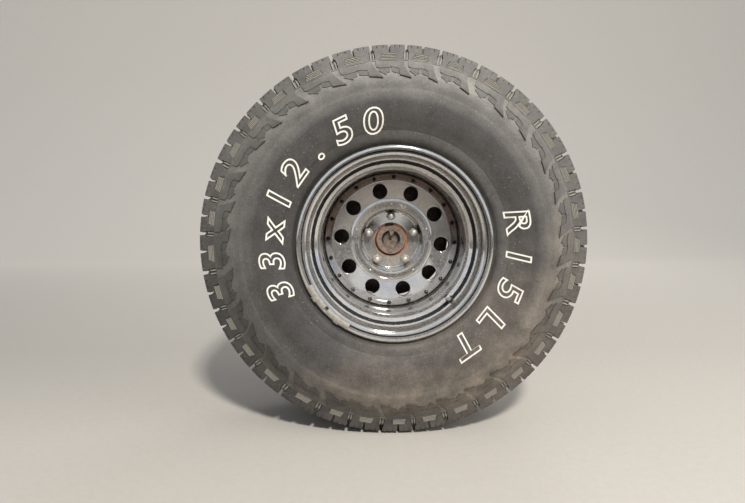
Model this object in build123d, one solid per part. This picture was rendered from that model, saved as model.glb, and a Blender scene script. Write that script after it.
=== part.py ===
# Off-road wheel and tyre on the end of its driven axle: a 15 x 10 steel wheel with a 33 x 12.50 R 15 tyre,
# bolted over a brake drum to the flange of an axle shaft that turns in the end of an axle tube.
# Millimetres. The axle line is the Y axis: -Y is outboard, +Y inboard, +Z up and +X towards the vehicle's front.
# The origin is the centre of the axle tube's inboard end.

import math
import os

from build123d import *

os.makedirs("parts", exist_ok=True)

# Places along the axle
tube_end_to_hub_face = 306.0     # axle tube's inboard end to the face that the wheel bolts against
lip_to_hub_face = 184.0          # outboard lip of the rim to the same face: the depth of the dish
lip_to_tyre_middle = 139.7       # outboard lip to the tyre's middle plane: half the rim's overall width

# Clearances
seat_gap = 0.3                   # between pieces that seat on a round face
cut_past = 12.0                  # how far a cutter runs past the faces that it cuts
root_depth = 1.0                 # how far a stud or a tooth runs into the piece that it grows out of
running_gap = 0.05               # radial, shaft in its bearing
brake_gap = 5.0                  # between the turning drum and the fixed backing plate

# Tyre: a ring of straight segments, one for each shoulder lug, mitred together
tyre_radius = 416.0
tread_half_width = 131.0
section_half_width = 157.5
bulge_start_radius = 262.0       # the widest stretch of the sidewall
bulge_end_radius = 315.0
bulge_lean = 1.5
tread_depth = 13.0
tread_crown = 3.5                # how much lower the tread is at its shoulders
lug_pitches = 32                 # each pitch has two lugs on each side, behind a wide and a narrow groove
wide_groove = 13.0
narrow_groove = 8.0
lug_length = 38.0                # from the tread's edge towards its middle
lug_overhang = 9.0               # how far the lugs stand out past their foot on the sidewall
tread_channel = 9.0              # width of the grooves that run round the tyre, between the rows of blocks
centre_block_half = 29.0         # half the width of the row of blocks in the tread's middle
shoulder_base_radius = 378.0     # where the shoulder lugs grow out of the sidewall
shoulder_bevel = 9.0
shoulder_bevel_width = 4.0
bead_width = 28.0
casing_thickness = 11.0

# Rim
bead_seat_radius = 189.8
flange_radius = 207.6
rim_half_inside = 127.0          # tyre's middle plane to the inner face of a rim flange
rim_sheet = 3.0
well_radius = 161.0              # inner face of the well, which the disc is welded into
well_half_width = 77.7
seat_inner_half = 95.7           # where the bead seat ends and the slope down to the well begins
flange_curl_drop = 4.0
flange_tip_back = 1.0            # lip plane to the middle of the curled flange's edge
valve_hole_radius = 5.8
valve_angle = -45.0

# Wheel disc
disc_sheet = 4.5
centre_bore_radius = 41.5
bell_draft = 4.0                 # how much wider the hub bell is at its crest
crest_rise = 10.0                # crest of the hub bell above the flat that holds the holes
flat_inner_radius = 93.0
flat_outer_radius = 143.0
edge_bevel = 7.0                 # how far the disc's edge falls back from the flat
flat_depth = 151.0               # outboard lip to the middle of the flat's outboard face
flat_cone = 5.6                  # how far the flat's outer edge stands outboard of its inner edge
disc_flange_end = 192.0          # outboard lip to the end of the flange that is welded to the well
hand_hole_count = 10
hand_hole_radius = 17.25
hand_hole_circle = 118.0
hand_hole_start = -4.5

# Studs and nuts
stud_count = 5
stud_circle = 57.15
stud_radius = 6.35
stud_start = 90.3
stud_hole_gap = 1.6
drum_stud_gap = 0.6
stud_reach = 18.0                # past the wheel disc's face
nut_across = 19.05
nut_hex = 15.0
nut_dome = 9.5
nut_crown_in = 5.2               # how far the crown's slope runs in from the flats
nut_cone = 3.6
nut_cone_spread = 3.25           # how much wider the nut's seat is than the stud
nut_bore_past = 1.0
socket_room = 0.6                # round the nut's corners, inside the hub bell

# Axle shaft, flange and pilot
shaft_radius = 17.5
bearing_seat_radius = 20.0
flange_disc_radius = 76.0
flange_thickness = 10.0
pilot_radius = 35.6
pilot_reach = 7.0                # past the hub face
cup_radius = 23.4
cup_depth = 14.0
cup_taper = 6.0
pilot_chamfer = 2.0
cup_boss_width = 16.0            # wedge that grows out of the cup's wall and points at the centre
cup_boss_tip = 4.5
cup_boss_length = 13.0
cup_boss_back = 1.2              # pilot's face to the boss's face
cup_boss_turn = -6.0             # boss's turn from straight up, towards -X when positive
cup_rib_width = 20.0             # low rib opposite the boss
cup_rib_tip = 14.0
cup_rib_length = 8.0
cup_rib_back = 5.0
centre_drill_radius = 2.0
centre_drill_depth = 6.0
notch_width = 21.0               # notch through the drum's face and the pilot's edge
notch_inner_radius = 33.2
notch_outer_radius = 43.0
notch_turn = 7.0
flange_boss_radius = 36.0
flange_boss = 10.0
bearing_shoulder = 5.0
bearing_shoulder_back = 2.0      # shaft's shoulder to the retainer's outboard face
spline_radius = 16.5
spline_count = 28
spline_length = 42.0
spline_tooth = 1.6
spline_tip_share = 0.6           # width of a tooth's tip beside its root
spline_lead = 2.0                # plain stretch at the shaft's end, past the teeth
shaft_past_tube = 60.0

# Brake drum
drum_bore_gap = 0.3
drum_face = 7.0
drum_inner_radius = 127.0
drum_wall = 11.0
drum_depth = 80.0
drum_shoulder = 13.0             # chamfer round the drum's outboard corner, along the axle
drum_shoulder_in = 22.0
drum_lip = 5.0
drum_lip_width = 12.0

# Backing plate and what it bolts to
plate_sheet = 2.6
plate_face = 68.0                # hub face to the housing flange's outboard face
plate_centre_margin = 12.0       # round the flange bolts, before the dish begins
plate_dish = 24.0
plate_lip = 9.0
retainer_thickness = 4.0
corner_cut = 10.0
bolt_margin = 8.8                # flange bolt's middle to the edge of the retainer and housing flange
bearing_radius = 36.5
bearing_width = 20.0
retainer_overlap = 5.0
flange_bolt_radius = 5.0
flange_bolt_across = 15.0
flange_bolt_count = 4
flange_bolt_head = 6.0
flange_bolt_past = 8.0
wrench_gap = 0.5                 # between the bolts' nuts and the tube's flared end

# Axle tube
tube_radius = 35.0
tube_wall = 6.35
spigot_step = 1.0
spigot_length = 45.0             # turned stretch that is pressed into the differential housing
housing_wall = 9.5
housing_end_length = 34.0
housing_taper = 24.0
housing_flange = 10.0

# Spring seat
spring_from_hub_face = 216.0
seat_width = 63.5
seat_length = 132.0
seat_plate = 6.35
seat_rise = 14.0                 # top of the tube to the underside of the seat's plate
seat_pin_radius = 8.0
seat_end_lip = 4.0
seat_ear = 12.0                  # the sides' width past the tube, where they end above the axle line
seat_ear_height = 6.0

# Valve and balance weights
valve_neck_radius = 5.4          # in the rim's hole
valve_collar_radius = 8.5
valve_collar_length = 5.0
valve_bulb_length = 5.0          # behind the rim
valve_stem_radius = 5.8         # with its metal sleeve
valve_length = 28.0
weight_angles = (221.75, 240.5)  # the end of each weight, counted from +X towards +Z
weight_arc = 16.5
weight_thickness = 4.0
weight_height = 7.0
weight_slant = 1.0

hub_y = -tube_end_to_hub_face
lip_y = hub_y - lip_to_hub_face
middle_y = lip_y + lip_to_tyre_middle


def face_of(points):
    """Flat face from (y, radius) points, in the plane of the axle line."""
    return Plane.YZ * make_face(Polyline(*points, close=True))


def turned(points):
    """Solid of revolution about the axle line from (y, radius) points."""
    return revolve(face_of(points), Axis.Y)


def moved_line(line, distance):
    """A line of points moved sideways to its left by a distance, with mitred corners."""
    points = [Vector(*point) for point in line]
    runs = [(after - before).normalized() for before, after in zip(points, points[1:])]
    lefts = [Vector(-run.Y, run.X) for run in runs]
    moved = []
    for point, before, after in zip(points, [lefts[0]] + lefts, lefts + [lefts[-1]]):
        mitre = (before + after) * (distance / (1 + before.dot(after)))
        moved.append((point.X + mitre.X, point.Y + mitre.Y))
    return moved


def sheet_outline(middle_line, thickness):
    """Both faces of a pressed sheet from its middle line."""
    return moved_line(middle_line, thickness / 2) + moved_line(middle_line, -thickness / 2)[::-1]


def around(solid, count, start):
    """Copies of a solid modelled above the axle line, at equal angles that are counted from +X towards +Z."""
    turns = [90 - start - 360 / count * index for index in range(count)]
    return [Rotation(0, turn, 0) * solid for turn in turns]


def rod(radius, y_from, y_to, height=0.0):
    """Round bar along Y at a height above the axle line."""
    plane = Plane(origin=(0, y_from, height), x_dir=(1, 0, 0), z_dir=(0, 1, 0))
    return extrude(plane * Circle(radius), y_to - y_from)


def turned_on(y, height, points):
    """Solid of revolution about a line along Y at a height, from (distance inboard of y, radius) points."""
    outline = [(y + along, height + radius) for along, radius in points]
    return revolve(face_of(outline), Axis((0, 0, height), (0, 1, 0)))


def save(name, solids):
    shape = Compound(children=solids) if isinstance(solids, list) else solids
    shape.label = name
    export_step(shape, f"parts/{name}.step")


# Rim barrel: one pressed sheet, the same on both sides of the tyre's middle plane
leg_half = rim_half_inside + rim_sheet / 2
seat_line = bead_seat_radius - rim_sheet / 2
curl_line = flange_radius - rim_sheet / 2
lip_half = lip_to_tyre_middle
half_rim = [
    (lip_half - flange_tip_back, curl_line - flange_curl_drop),
    (leg_half, curl_line),
    (leg_half, seat_line),
    (seat_inner_half, seat_line),
    (well_half_width, well_radius + rim_sheet / 2),
]
rim_line = [(middle_y - s, r) for s, r in half_rim] + [(middle_y + s, r) for s, r in half_rim[::-1]]
rim_barrel = turned(sheet_outline(rim_line, rim_sheet))

# The valve stands square to the slope between the bead seat and the well
slope_top = Vector(seat_inner_half, seat_line)
slope_foot = Vector(well_half_width, well_radius + rim_sheet / 2)
slope_middle = (slope_top + slope_foot) * 0.5
slope_run = (slope_top - slope_foot).normalized()
valve_direction = Vector(0, -slope_run.Y, -slope_run.X)
valve_turn = Rotation(0, 90 - valve_angle, 0)
valve_seat = Vector(0, middle_y - slope_middle.X, slope_middle.Y)
valve_plane = Plane(origin=valve_seat, x_dir=(1, 0, 0), z_dir=valve_direction)
valve_hole = extrude(valve_plane * Circle(valve_hole_radius), cut_past, both=True)
rim_barrel = rim_barrel - valve_turn * valve_hole

# Snap-in valve: bulb behind the rim, neck in the hole, collar and stem in front
valve_seat_half = rim_sheet / 2 + seat_gap
valve_outline = [
    (0, -valve_seat_half - valve_bulb_length),
    (valve_collar_radius, -valve_seat_half - valve_bulb_length),
    (valve_collar_radius, -valve_seat_half),
    (valve_neck_radius, -valve_seat_half),
    (valve_neck_radius, valve_seat_half),
    (valve_collar_radius, valve_seat_half),
    (valve_collar_radius, valve_collar_length),
    (valve_stem_radius, valve_collar_length),
    (valve_stem_radius, valve_length),
    (0, valve_length),
]
valve_stem = revolve(Plane.XZ * make_face(Polyline(*valve_outline, close=True)), Axis.Z)
valve_stem = valve_turn * (valve_plane.location * valve_stem)

# Tyre: the casing, open inside, with two rows of shoulder lugs and three rows of blocks between them
bead_toe = rim_half_inside - bead_width
bead_heel = rim_half_inside - seat_gap
bead_radius = bead_seat_radius + seat_gap
shoulder_radius = tyre_radius - tread_crown
lug_inner_half = tread_half_width - lug_length
groove_floor = shoulder_radius - tread_depth
shoulder_base_half = tread_half_width - lug_overhang
half_wall = [
    (bead_heel, flange_radius + seat_gap),
    (section_half_width, bulge_start_radius),
    (section_half_width - bulge_lean, bulge_end_radius),
    (shoulder_base_half, shoulder_base_radius),
    (lug_inner_half, groove_floor),
]
half_casing = [(bead_toe, bead_radius), (bead_heel, bead_radius)] + half_wall
half_cavity = moved_line(half_wall, casing_thickness)[1:]
half_lug = [
    (lug_inner_half, groove_floor),
    (lug_inner_half, shoulder_radius),
    (tread_half_width - shoulder_bevel_width, shoulder_radius),
    (tread_half_width, shoulder_radius - shoulder_bevel),
    (shoulder_base_half, shoulder_base_radius),
]
block_foot = groove_floor - root_depth
middle_block_inner = centre_block_half + tread_channel
middle_block_outer = lug_inner_half - tread_channel
half_block = [
    (middle_block_inner, block_foot),
    (middle_block_inner, tyre_radius),
    (middle_block_outer, shoulder_radius),
    (middle_block_outer, block_foot),
]
centre_block = [
    (-centre_block_half, block_foot),
    (-centre_block_half, tyre_radius),
    (centre_block_half, tyre_radius),
    (centre_block_half, block_foot),
]
outside = [(middle_y - s, r) for s, r in half_casing] + [(middle_y + s, r) for s, r in half_casing[::-1]]
inside = [(middle_y + s, r) for s, r in half_cavity] + [(middle_y - s, r) for s, r in half_cavity[::-1]]
segment_count = 2 * lug_pitches
half_slope = math.tan(math.pi / segment_count)
segment_half = tyre_radius * half_slope
wedge_top = 2 * tyre_radius
wedge_side = wedge_top * half_slope
wedge_face = Polyline((0, 0), (wedge_side, wedge_top), (-wedge_side, wedge_top), close=True)
wedge = extrude(Plane.XZ.offset(-middle_y) * make_face(wedge_face), section_half_width + cut_past, both=True)
casing = extrude(face_of(outside + inside), 2 * segment_half, both=True) & wedge


def tread_block(section, side, groove):
    """Block at the top of the tyre behind a groove: side is -1 outboard and +1 inboard."""
    profile = Pos(groove - segment_half, 0, 0) * face_of([(middle_y + side * s, r) for s, r in section])
    return extrude(profile, 2 * segment_half, dir=(1, 0, 0)) & wedge


centre = tread_block(centre_block, 1, narrow_groove)
wide_outboard = casing + tread_block(half_lug, -1, wide_groove) + tread_block(half_lug, 1, narrow_groove) \
    + tread_block(half_block, -1, narrow_groove) + centre
narrow_outboard = casing + tread_block(half_lug, -1, narrow_groove) + tread_block(half_lug, 1, wide_groove) \
    + tread_block(half_block, 1, narrow_groove) + centre
segments = around(wide_outboard, lug_pitches, 0) + around(narrow_outboard, lug_pitches, 180 / lug_pitches)
tyre = segments[0].fuse(*segments[1:])

# Wheel disc: one pressing with its hub pad, bell, flat, bevelled edge and weld flange
half_disc = disc_sheet / 2
pad_y = hub_y - half_disc
flat_y = lip_y + flat_depth + half_disc
nut_corner = nut_across / 2 / math.cos(math.radians(30))
bell_radius = stud_circle + nut_corner + socket_room + half_disc
disc_line = [
    (pad_y, centre_bore_radius),
    (pad_y, bell_radius),
    (flat_y - crest_rise, bell_radius + bell_draft),
    (flat_y + flat_cone / 2, flat_inner_radius),
    (flat_y - flat_cone / 2, flat_outer_radius),
    (flat_y - flat_cone / 2 + edge_bevel, well_radius - seat_gap - half_disc),
    (lip_y + disc_flange_end, well_radius - seat_gap - half_disc),
]
wheel_disc = turned(sheet_outline(disc_line, disc_sheet))
disc_front_y = hub_y - disc_sheet
nut_cone_radius = stud_radius + nut_cone_spread
hand_hole = rod(hand_hole_radius, flat_y - cut_past, flat_y + cut_past, hand_hole_circle)
stud_hole = rod(stud_radius + stud_hole_gap, hub_y - cut_past, hub_y + cut_past, stud_circle)
seat_cone = turned_on(disc_front_y, stud_circle, [
    (0, 0),
    (0, nut_cone_radius + seat_gap),
    (nut_cone, stud_radius + stud_hole_gap),
    (nut_cone, 0),
])
wheel_disc = wheel_disc - around(hand_hole, hand_hole_count, hand_hole_start)
wheel_disc = wheel_disc - around(stud_hole, stud_count, stud_start)
wheel_disc = wheel_disc - around(seat_cone, stud_count, stud_start)

# Closed nuts with a cone that seats in the disc and a hollow for the stud
nut_plane = Plane(origin=(0, disc_front_y, stud_circle), x_dir=(1, 0, 0), z_dir=(0, -1, 0))
nut_blank = extrude(nut_plane * RegularPolygon(nut_across / 2, 6, major_radius=False), nut_hex + nut_dome)
nut_end = nut_blank.faces().sort_by(Axis.Y)[0]
nut_body = chamfer(nut_end.edges(), nut_dome, nut_crown_in, reference=nut_end)
nut_foot = turned_on(disc_front_y, stud_circle, [
    (0, 0),
    (0, nut_cone_radius),
    (nut_cone, stud_radius + stud_hole_gap - seat_gap),
    (nut_cone, 0),
])
nut_bore = rod(stud_radius + seat_gap, disc_front_y - stud_reach - nut_bore_past, hub_y, stud_circle)
nut = nut_body + nut_foot - nut_bore
lug_nuts = around(nut, stud_count, stud_start)

# Axle shaft, forged in one piece with its flange and pilot, with the studs pressed into the flange
flange_y = hub_y + drum_face
flange_back_y = flange_y + flange_thickness
pilot_y = hub_y - pilot_reach
housing_y = hub_y + plate_face
bearing_y = housing_y - plate_sheet
shoulder_y = bearing_y - retainer_thickness - bearing_shoulder_back
spline_y = shaft_past_tube - spline_length
shaft_outline = [
    (pilot_y + cup_depth, 0),
    (pilot_y + cup_depth, cup_radius - cup_taper),
    (pilot_y, cup_radius),
    (pilot_y, pilot_radius - pilot_chamfer),
    (pilot_y + pilot_chamfer, pilot_radius),
    (flange_y, pilot_radius),
    (flange_y, flange_disc_radius),
    (flange_back_y, flange_disc_radius),
    (flange_back_y, flange_boss_radius),
    (flange_back_y + flange_boss, bearing_seat_radius + bearing_shoulder),
    (shoulder_y, bearing_seat_radius + bearing_shoulder),
    (shoulder_y, bearing_seat_radius),
    (bearing_y + bearing_width, bearing_seat_radius),
    (bearing_y + bearing_width, shaft_radius),
    (spline_y, shaft_radius),
    (spline_y, spline_radius - spline_tooth),
    (shaft_past_tube, spline_radius - spline_tooth),
    (shaft_past_tube, 0),
]
axle_shaft = turned(shaft_outline)
stud = rod(stud_radius, disc_front_y - stud_reach, flange_y + root_depth, stud_circle)
axle_shaft = axle_shaft + around(stud, stud_count, stud_start)
tooth_root = math.pi * spline_radius / spline_count / 2
tooth_tip = tooth_root * spline_tip_share
tooth_foot = spline_radius - spline_tooth - root_depth
tooth_plane = Plane(origin=(0, spline_y, 0), x_dir=(1, 0, 0), z_dir=(0, 1, 0))
tooth_face = tooth_plane * make_face(Polyline(
    (-tooth_root, -tooth_foot),
    (tooth_root, -tooth_foot),
    (tooth_tip, -spline_radius),
    (-tooth_tip, -spline_radius),
    close=True,
))
tooth = extrude(tooth_face, spline_length - spline_lead)
axle_shaft = axle_shaft + around(tooth, spline_count, stud_start)
cup_floor_y = pilot_y + cup_depth


def cup_wedge(root_half, tip_half, reach, back):
    """Wedge at the top of the pilot's cup, from its wall towards the centre."""
    plane = Plane(origin=(0, pilot_y + back, 0), x_dir=(1, 0, 0), z_dir=(0, 1, 0))
    root = cup_radius + root_depth
    tip = cup_radius - reach
    outline = [(-root_half, -root), (root_half, -root), (tip_half, -tip), (-tip_half, -tip)]
    return extrude(plane * make_face(Polyline(*outline, close=True)), cup_depth - back + root_depth)


cup_boss = cup_wedge(cup_boss_width / 2, cup_boss_tip / 2, cup_boss_length, cup_boss_back)
cup_rib = cup_wedge(cup_rib_width / 2, cup_rib_tip / 2, cup_rib_length, cup_rib_back)
centre_drill = rod(centre_drill_radius, cup_floor_y - root_depth, cup_floor_y + centre_drill_depth)
notch_middle = (notch_inner_radius + notch_outer_radius) / 2
notch = Pos(0, flange_y - cut_past, notch_middle) * Box(
    notch_width, 2 * cut_past, notch_outer_radius - notch_inner_radius)
notch = Rotation(0, -notch_turn, 0) * notch
axle_shaft = axle_shaft + Rotation(0, -cup_boss_turn, 0) * cup_boss + Rotation(0, 180, 0) * cup_rib
axle_shaft = axle_shaft - centre_drill - notch

# Brake drum
drum_radius = drum_inner_radius + drum_wall
drum_outline = [
    (hub_y, pilot_radius + drum_bore_gap),
    (hub_y, drum_radius - drum_shoulder_in),
    (hub_y + drum_shoulder, drum_radius),
    (hub_y + drum_depth - drum_lip_width, drum_radius),
    (hub_y + drum_depth - drum_lip_width, drum_radius + drum_lip),
    (hub_y + drum_depth, drum_radius + drum_lip),
    (hub_y + drum_depth, drum_inner_radius),
    (hub_y + drum_face, drum_inner_radius),
    (hub_y + drum_face, pilot_radius + drum_bore_gap),
]
brake_drum = turned(drum_outline)
drum_stud_hole = rod(stud_radius + drum_stud_gap, hub_y - cut_past, hub_y + cut_past, stud_circle)
brake_drum = brake_drum - around(drum_stud_hole, stud_count, stud_start) - notch

# Bearing, held in the tube's flared end by the retainer
bearing_back_y = bearing_y + bearing_width
wheel_bearing = turned([
    (bearing_y, bearing_seat_radius + running_gap),
    (bearing_y, bearing_radius),
    (bearing_back_y, bearing_radius),
    (bearing_back_y, bearing_seat_radius + running_gap),
])

# Backing plate: a dished pressing with a lip round the drum's open side
housing_end_radius = bearing_radius + housing_wall
flange_bolt_circle = housing_end_radius + wrench_gap + flange_bolt_across / 2 / math.cos(math.radians(30))
plate_middle_y = housing_y - plate_sheet / 2
plate_centre_radius = flange_bolt_circle + plate_centre_margin
plate_rim = drum_radius + drum_lip + brake_gap + plate_sheet / 2
plate_back_y = hub_y + drum_depth + brake_gap + plate_sheet / 2
backing_plate = turned(sheet_outline([
    (plate_middle_y, bearing_radius + seat_gap),
    (plate_middle_y, plate_centre_radius),
    (plate_back_y, plate_centre_radius + plate_dish),
    (plate_back_y, plate_rim),
    (plate_back_y - plate_lip, plate_rim),
], plate_sheet))
bolt_hole = rod(flange_bolt_radius + seat_gap, housing_y - cut_past, housing_y + housing_flange + cut_past,
                flange_bolt_circle)
bolt_holes = around(bolt_hole, flange_bolt_count, 45)
backing_plate = backing_plate - bolt_holes

# Bearing retainer and housing flange: square plates with cut corners
flange_half = flange_bolt_circle / math.sqrt(2) + bolt_margin
flange_square = Rectangle(2 * flange_half, 2 * flange_half)
flange_blank = chamfer(flange_square.vertices(), corner_cut)
retainer_plane = Plane(origin=(0, bearing_y, 0), x_dir=(1, 0, 0), z_dir=(0, -1, 0))
retainer_hole = Circle(bearing_radius - retainer_overlap)
bearing_retainer = extrude(retainer_plane * (flange_blank - retainer_hole), retainer_thickness) - bolt_holes

# Axle tube with its flared end and square flange
tube_bore = tube_radius - tube_wall
spigot_radius = tube_radius - spigot_step
flare_y = housing_y + housing_end_length
tube_outline = [
    (0, tube_bore),
    (0, spigot_radius),
    (-spigot_length, spigot_radius),
    (-spigot_length, tube_radius),
    (flare_y + housing_taper, tube_radius),
    (flare_y, housing_end_radius),
    (housing_y, housing_end_radius),
    (housing_y, bearing_radius + seat_gap),
    (bearing_back_y, bearing_radius + seat_gap),
    (bearing_back_y, tube_bore),
]
flange_plane = Plane(origin=(0, housing_y, 0), x_dir=(1, 0, 0), z_dir=(0, 1, 0))
flange_ring = flange_blank - Circle(bearing_radius + seat_gap)
axle_tube = turned(tube_outline) + extrude(flange_plane * flange_ring, housing_flange) - bolt_holes

# Flange bolts, heads inside the drum and nuts behind the housing flange
bolt_head_y = bearing_y - retainer_thickness
bolt_nut_y = housing_y + housing_flange
bolt_hexagon = RegularPolygon(flange_bolt_across / 2, 6, major_radius=False)
bolt_shank = rod(flange_bolt_radius, bolt_head_y, bolt_nut_y + flange_bolt_past, flange_bolt_circle)
head_plane = Plane(origin=(0, bolt_head_y, flange_bolt_circle), z_dir=(0, -1, 0))
bolt_nut_plane = Plane(origin=(0, bolt_nut_y, flange_bolt_circle), z_dir=(0, 1, 0))
bolt_head = extrude(head_plane * bolt_hexagon, flange_bolt_head)
bolt_nut = extrude(bolt_nut_plane * bolt_hexagon, flange_bolt_head)
flange_bolts = around(bolt_shank + bolt_head + bolt_nut, flange_bolt_count, 45)

# Spring seat: a channel whose two sides are cut to the tube
spring_y = hub_y + spring_from_hub_face
seat_top = tube_radius + seat_rise + seat_plate
seat_plane = Plane(origin=(0, spring_y, 0), x_dir=(1, 0, 0), z_dir=(0, 1, 0))
seat_side = make_face(Polyline(
    (-seat_length / 2, -seat_top),
    (seat_length / 2, -seat_top),
    (seat_length / 2, seat_end_lip + seat_plate - seat_top),
    (tube_radius + seat_ear, -seat_ear_height),
    (-(tube_radius + seat_ear), -seat_ear_height),
    (-seat_length / 2, seat_end_lip + seat_plate - seat_top),
    close=True,
)) - Circle(tube_radius + seat_gap)
spring_seat = extrude(seat_plane * seat_side, seat_width / 2, both=True)
seat_inside = Pos(0, spring_y, (seat_top - seat_plate) / 2) * Box(
    seat_length + cut_past, seat_width - 2 * seat_plate, seat_top - seat_plate)
seat_pin = Pos(0, spring_y, seat_top) * Cylinder(seat_pin_radius, 2 * (seat_plate + cut_past))
spring_seat = spring_seat - seat_inside - seat_pin

# Clip-on balance weights under the curl of the outboard lip
curl_fall = flange_curl_drop / (lip_half - flange_tip_back - leg_half)
weight_inner = leg_half + rim_sheet / 2 + seat_gap
weight_outer = weight_inner + weight_thickness


def under_curl(half):
    """Radius of the seat under the curled flange at a distance from the tyre's middle plane."""
    sheet_and_gap = (rim_sheet / 2 + seat_gap) * math.hypot(1, curl_fall)
    return curl_line - curl_fall * (half - leg_half) - sheet_and_gap


weight_face = face_of([
    (middle_y - weight_inner, under_curl(weight_inner)),
    (middle_y - weight_inner, under_curl(weight_inner) - weight_height),
    (middle_y - weight_outer, under_curl(weight_outer) - weight_height + weight_slant),
    (middle_y - weight_outer, under_curl(weight_outer)),
])
weight = revolve(weight_face, Axis.Y, weight_arc)
wheel_weights = [Rotation(0, 90 - angle, 0) * weight for angle in weight_angles]

nodes = {
    "axle_tube": axle_tube,
    "spring_seat": spring_seat,
    "backing_plate": backing_plate,
    "bearing_retainer": bearing_retainer,
    "wheel_bearing": wheel_bearing,
    "flange_bolts": flange_bolts,
    "tyre": tyre,
    "rim_barrel": rim_barrel,
    "wheel_disc": wheel_disc,
    "lug_nuts": lug_nuts,
    "axle_shaft": axle_shaft,
    "brake_drum": brake_drum,
    "valve_stem": valve_stem,
    "wheel_weights": wheel_weights,
}
for name, solids in nodes.items():
    save(name, solids)
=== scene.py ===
import math
from functools import cache, partial

import bmesh
import bpy
from bpy.props import FloatProperty, FloatVectorProperty, IntProperty, PointerProperty, StringProperty
from mathutils import Matrix, Vector


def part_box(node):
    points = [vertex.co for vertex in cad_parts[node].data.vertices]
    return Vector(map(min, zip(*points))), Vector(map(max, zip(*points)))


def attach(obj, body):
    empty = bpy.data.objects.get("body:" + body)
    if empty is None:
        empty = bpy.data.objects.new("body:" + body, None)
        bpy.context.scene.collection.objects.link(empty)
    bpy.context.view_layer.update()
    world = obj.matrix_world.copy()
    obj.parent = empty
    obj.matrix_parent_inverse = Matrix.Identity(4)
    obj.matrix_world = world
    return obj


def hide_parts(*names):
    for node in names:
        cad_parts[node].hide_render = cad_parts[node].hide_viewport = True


bl_info = {
    "name": "Off-road wheel on its axle end",
    "version": (1, 0, 0),
    "blender": (4, 5, 0),
    "location": "3D View > Sidebar > Wheel",
    "description": "Models and finishes the wheel, its tyre and the end of its axle over the packed part",
    "category": "Object",
}

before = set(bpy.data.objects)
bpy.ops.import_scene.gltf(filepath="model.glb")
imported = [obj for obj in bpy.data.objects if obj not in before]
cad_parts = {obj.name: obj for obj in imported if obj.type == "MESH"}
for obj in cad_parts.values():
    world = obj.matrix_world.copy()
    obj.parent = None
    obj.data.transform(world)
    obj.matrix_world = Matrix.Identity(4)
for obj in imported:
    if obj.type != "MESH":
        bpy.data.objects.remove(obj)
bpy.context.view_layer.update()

MM = 0.001
LIP_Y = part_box("rim_barrel")[0].y / MM          # outboard lip of the rim
MIDDLE_Y = sum(corner.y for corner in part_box("rim_barrel")) / 2 / MM
HUB_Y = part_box("brake_drum")[0].y / MM          # face that the wheel bolts against
TYRE_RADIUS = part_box("tyre")[1].z / MM
FLAT_Y = LIP_Y + 151                            # outboard face of the disc's flat
FLAT_SLOPE = 0.1109                             # how far the flat leans outboard for each millimetre of radius
SEAT_Y = HUB_Y - 4.5                            # face of the disc that the nuts sit on
# Angles of the first hand hole, rivet and stud, from +X towards +Z
HOLE_START, RIVET_START, STUD_START = -4.5, -2, 90.3
ACROSS = Vector((0, 1, 0))                      # the axle's direction
CLOSE = 0.001 * MM                              # vertices nearer than this lie at one place


def linear(code):
    """Linear colour from an sRGB hex value."""
    parts = [int(code[at:at + 2], 16) / 255 for at in (1, 3, 5)]
    return [part / 12.92 if part <= 0.04045 else ((part + 0.055) / 1.055) ** 2.4 for part in parts]


def length(name, description, millimetres, **limits):
    return FloatProperty(name=name, description=description, default=millimetres * MM, unit="LENGTH", **limits)


def colour(name, description, code):
    return FloatVectorProperty(name=name, description=description, default=linear(code), subtype="COLOR",
                               min=0, max=1)


class TyreSizes(bpy.types.PropertyGroup):
    tread_radius: length("Tread radius", "Axle line to the middle of the tread", TYRE_RADIUS)
    tread_depth: length("Tread depth", "Tread surface to the floor of the grooves", 13)
    groove_top: length("Groove top", "Width of the grooves between pairs of shoulder lugs, at the tread", 8.4)
    groove_foot: length("Groove foot", "Width of the same grooves where the lugs meet the sidewall", 13.6)
    sipe_width: length("Sipe width", "Width of the thin cuts in the tread blocks", 1)
    numeral_height: length("Numeral height", "Height of the size numerals on the sidewall", 48)
    numeral_radius: length("Numeral radius", "Axle line to the middle of the numerals", 257)
    numeral_stretch: FloatProperty(
        name="Numeral stretch", description="Width of the numerals, in their plain width", default=1.22,
        min=0.5, max=2)
    outline_width: length("Outline width", "Width of the numerals' white outline", 3.3)
    left_text: StringProperty(
        name="Left text", description="Size on the left of the sidewall", default="33x12.50")
    right_text: StringProperty(
        name="Right text", description="Size on the right of the sidewall", default="R15LT")


class RimSizes(bpy.types.PropertyGroup):
    sheet: length("Rim sheet", "Thickness of the rim's sheet", 3)
    flange_radius: length("Flange radius", "Axle line to the top of the flange", 207.6)
    seat_radius: length("Bead seat radius", "Axle line to the bead seat", 189.8)
    well_radius: length("Well radius", "Axle line to the inner face of the well", 161)
    rivet_count: IntProperty(name="Rivets", description="Rivets round the disc's edge", default=20)
    rivet_radius: length("Rivet radius", "Radius of a rivet's head", 5)
    rivet_circle: length("Rivet circle", "Axle line to the rivets", 149.5)


class DiscSizes(bpy.types.PropertyGroup):
    sheet: length("Disc sheet", "Thickness of the disc's sheet", 4.5)
    hole_count: IntProperty(name="Hand holes", description="Round holes in the disc", default=10)
    hole_radius: length("Hand hole radius", "Radius of a round hole", 17.25)
    hole_circle: length("Hand hole circle", "Axle line to the middle of a round hole", 118)
    hole_rounding: length("Hole rounding", "How far a hole's front edge is rounded", 1.3)
    flat_cone: length("Flat's cone", "How far the flat's outer edge stands out past its inner edge", 5.6)
    stud_count: IntProperty(name="Studs", description="Studs and nuts", default=5)
    stud_circle: length("Stud circle", "Axle line to the middle of a stud", 57.15)
    nut_across: length("Nut across flats", "Across the flats of a nut", 19.05)
    nut_height: length("Nut height", "Height of a nut above the disc", 24.5)


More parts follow.
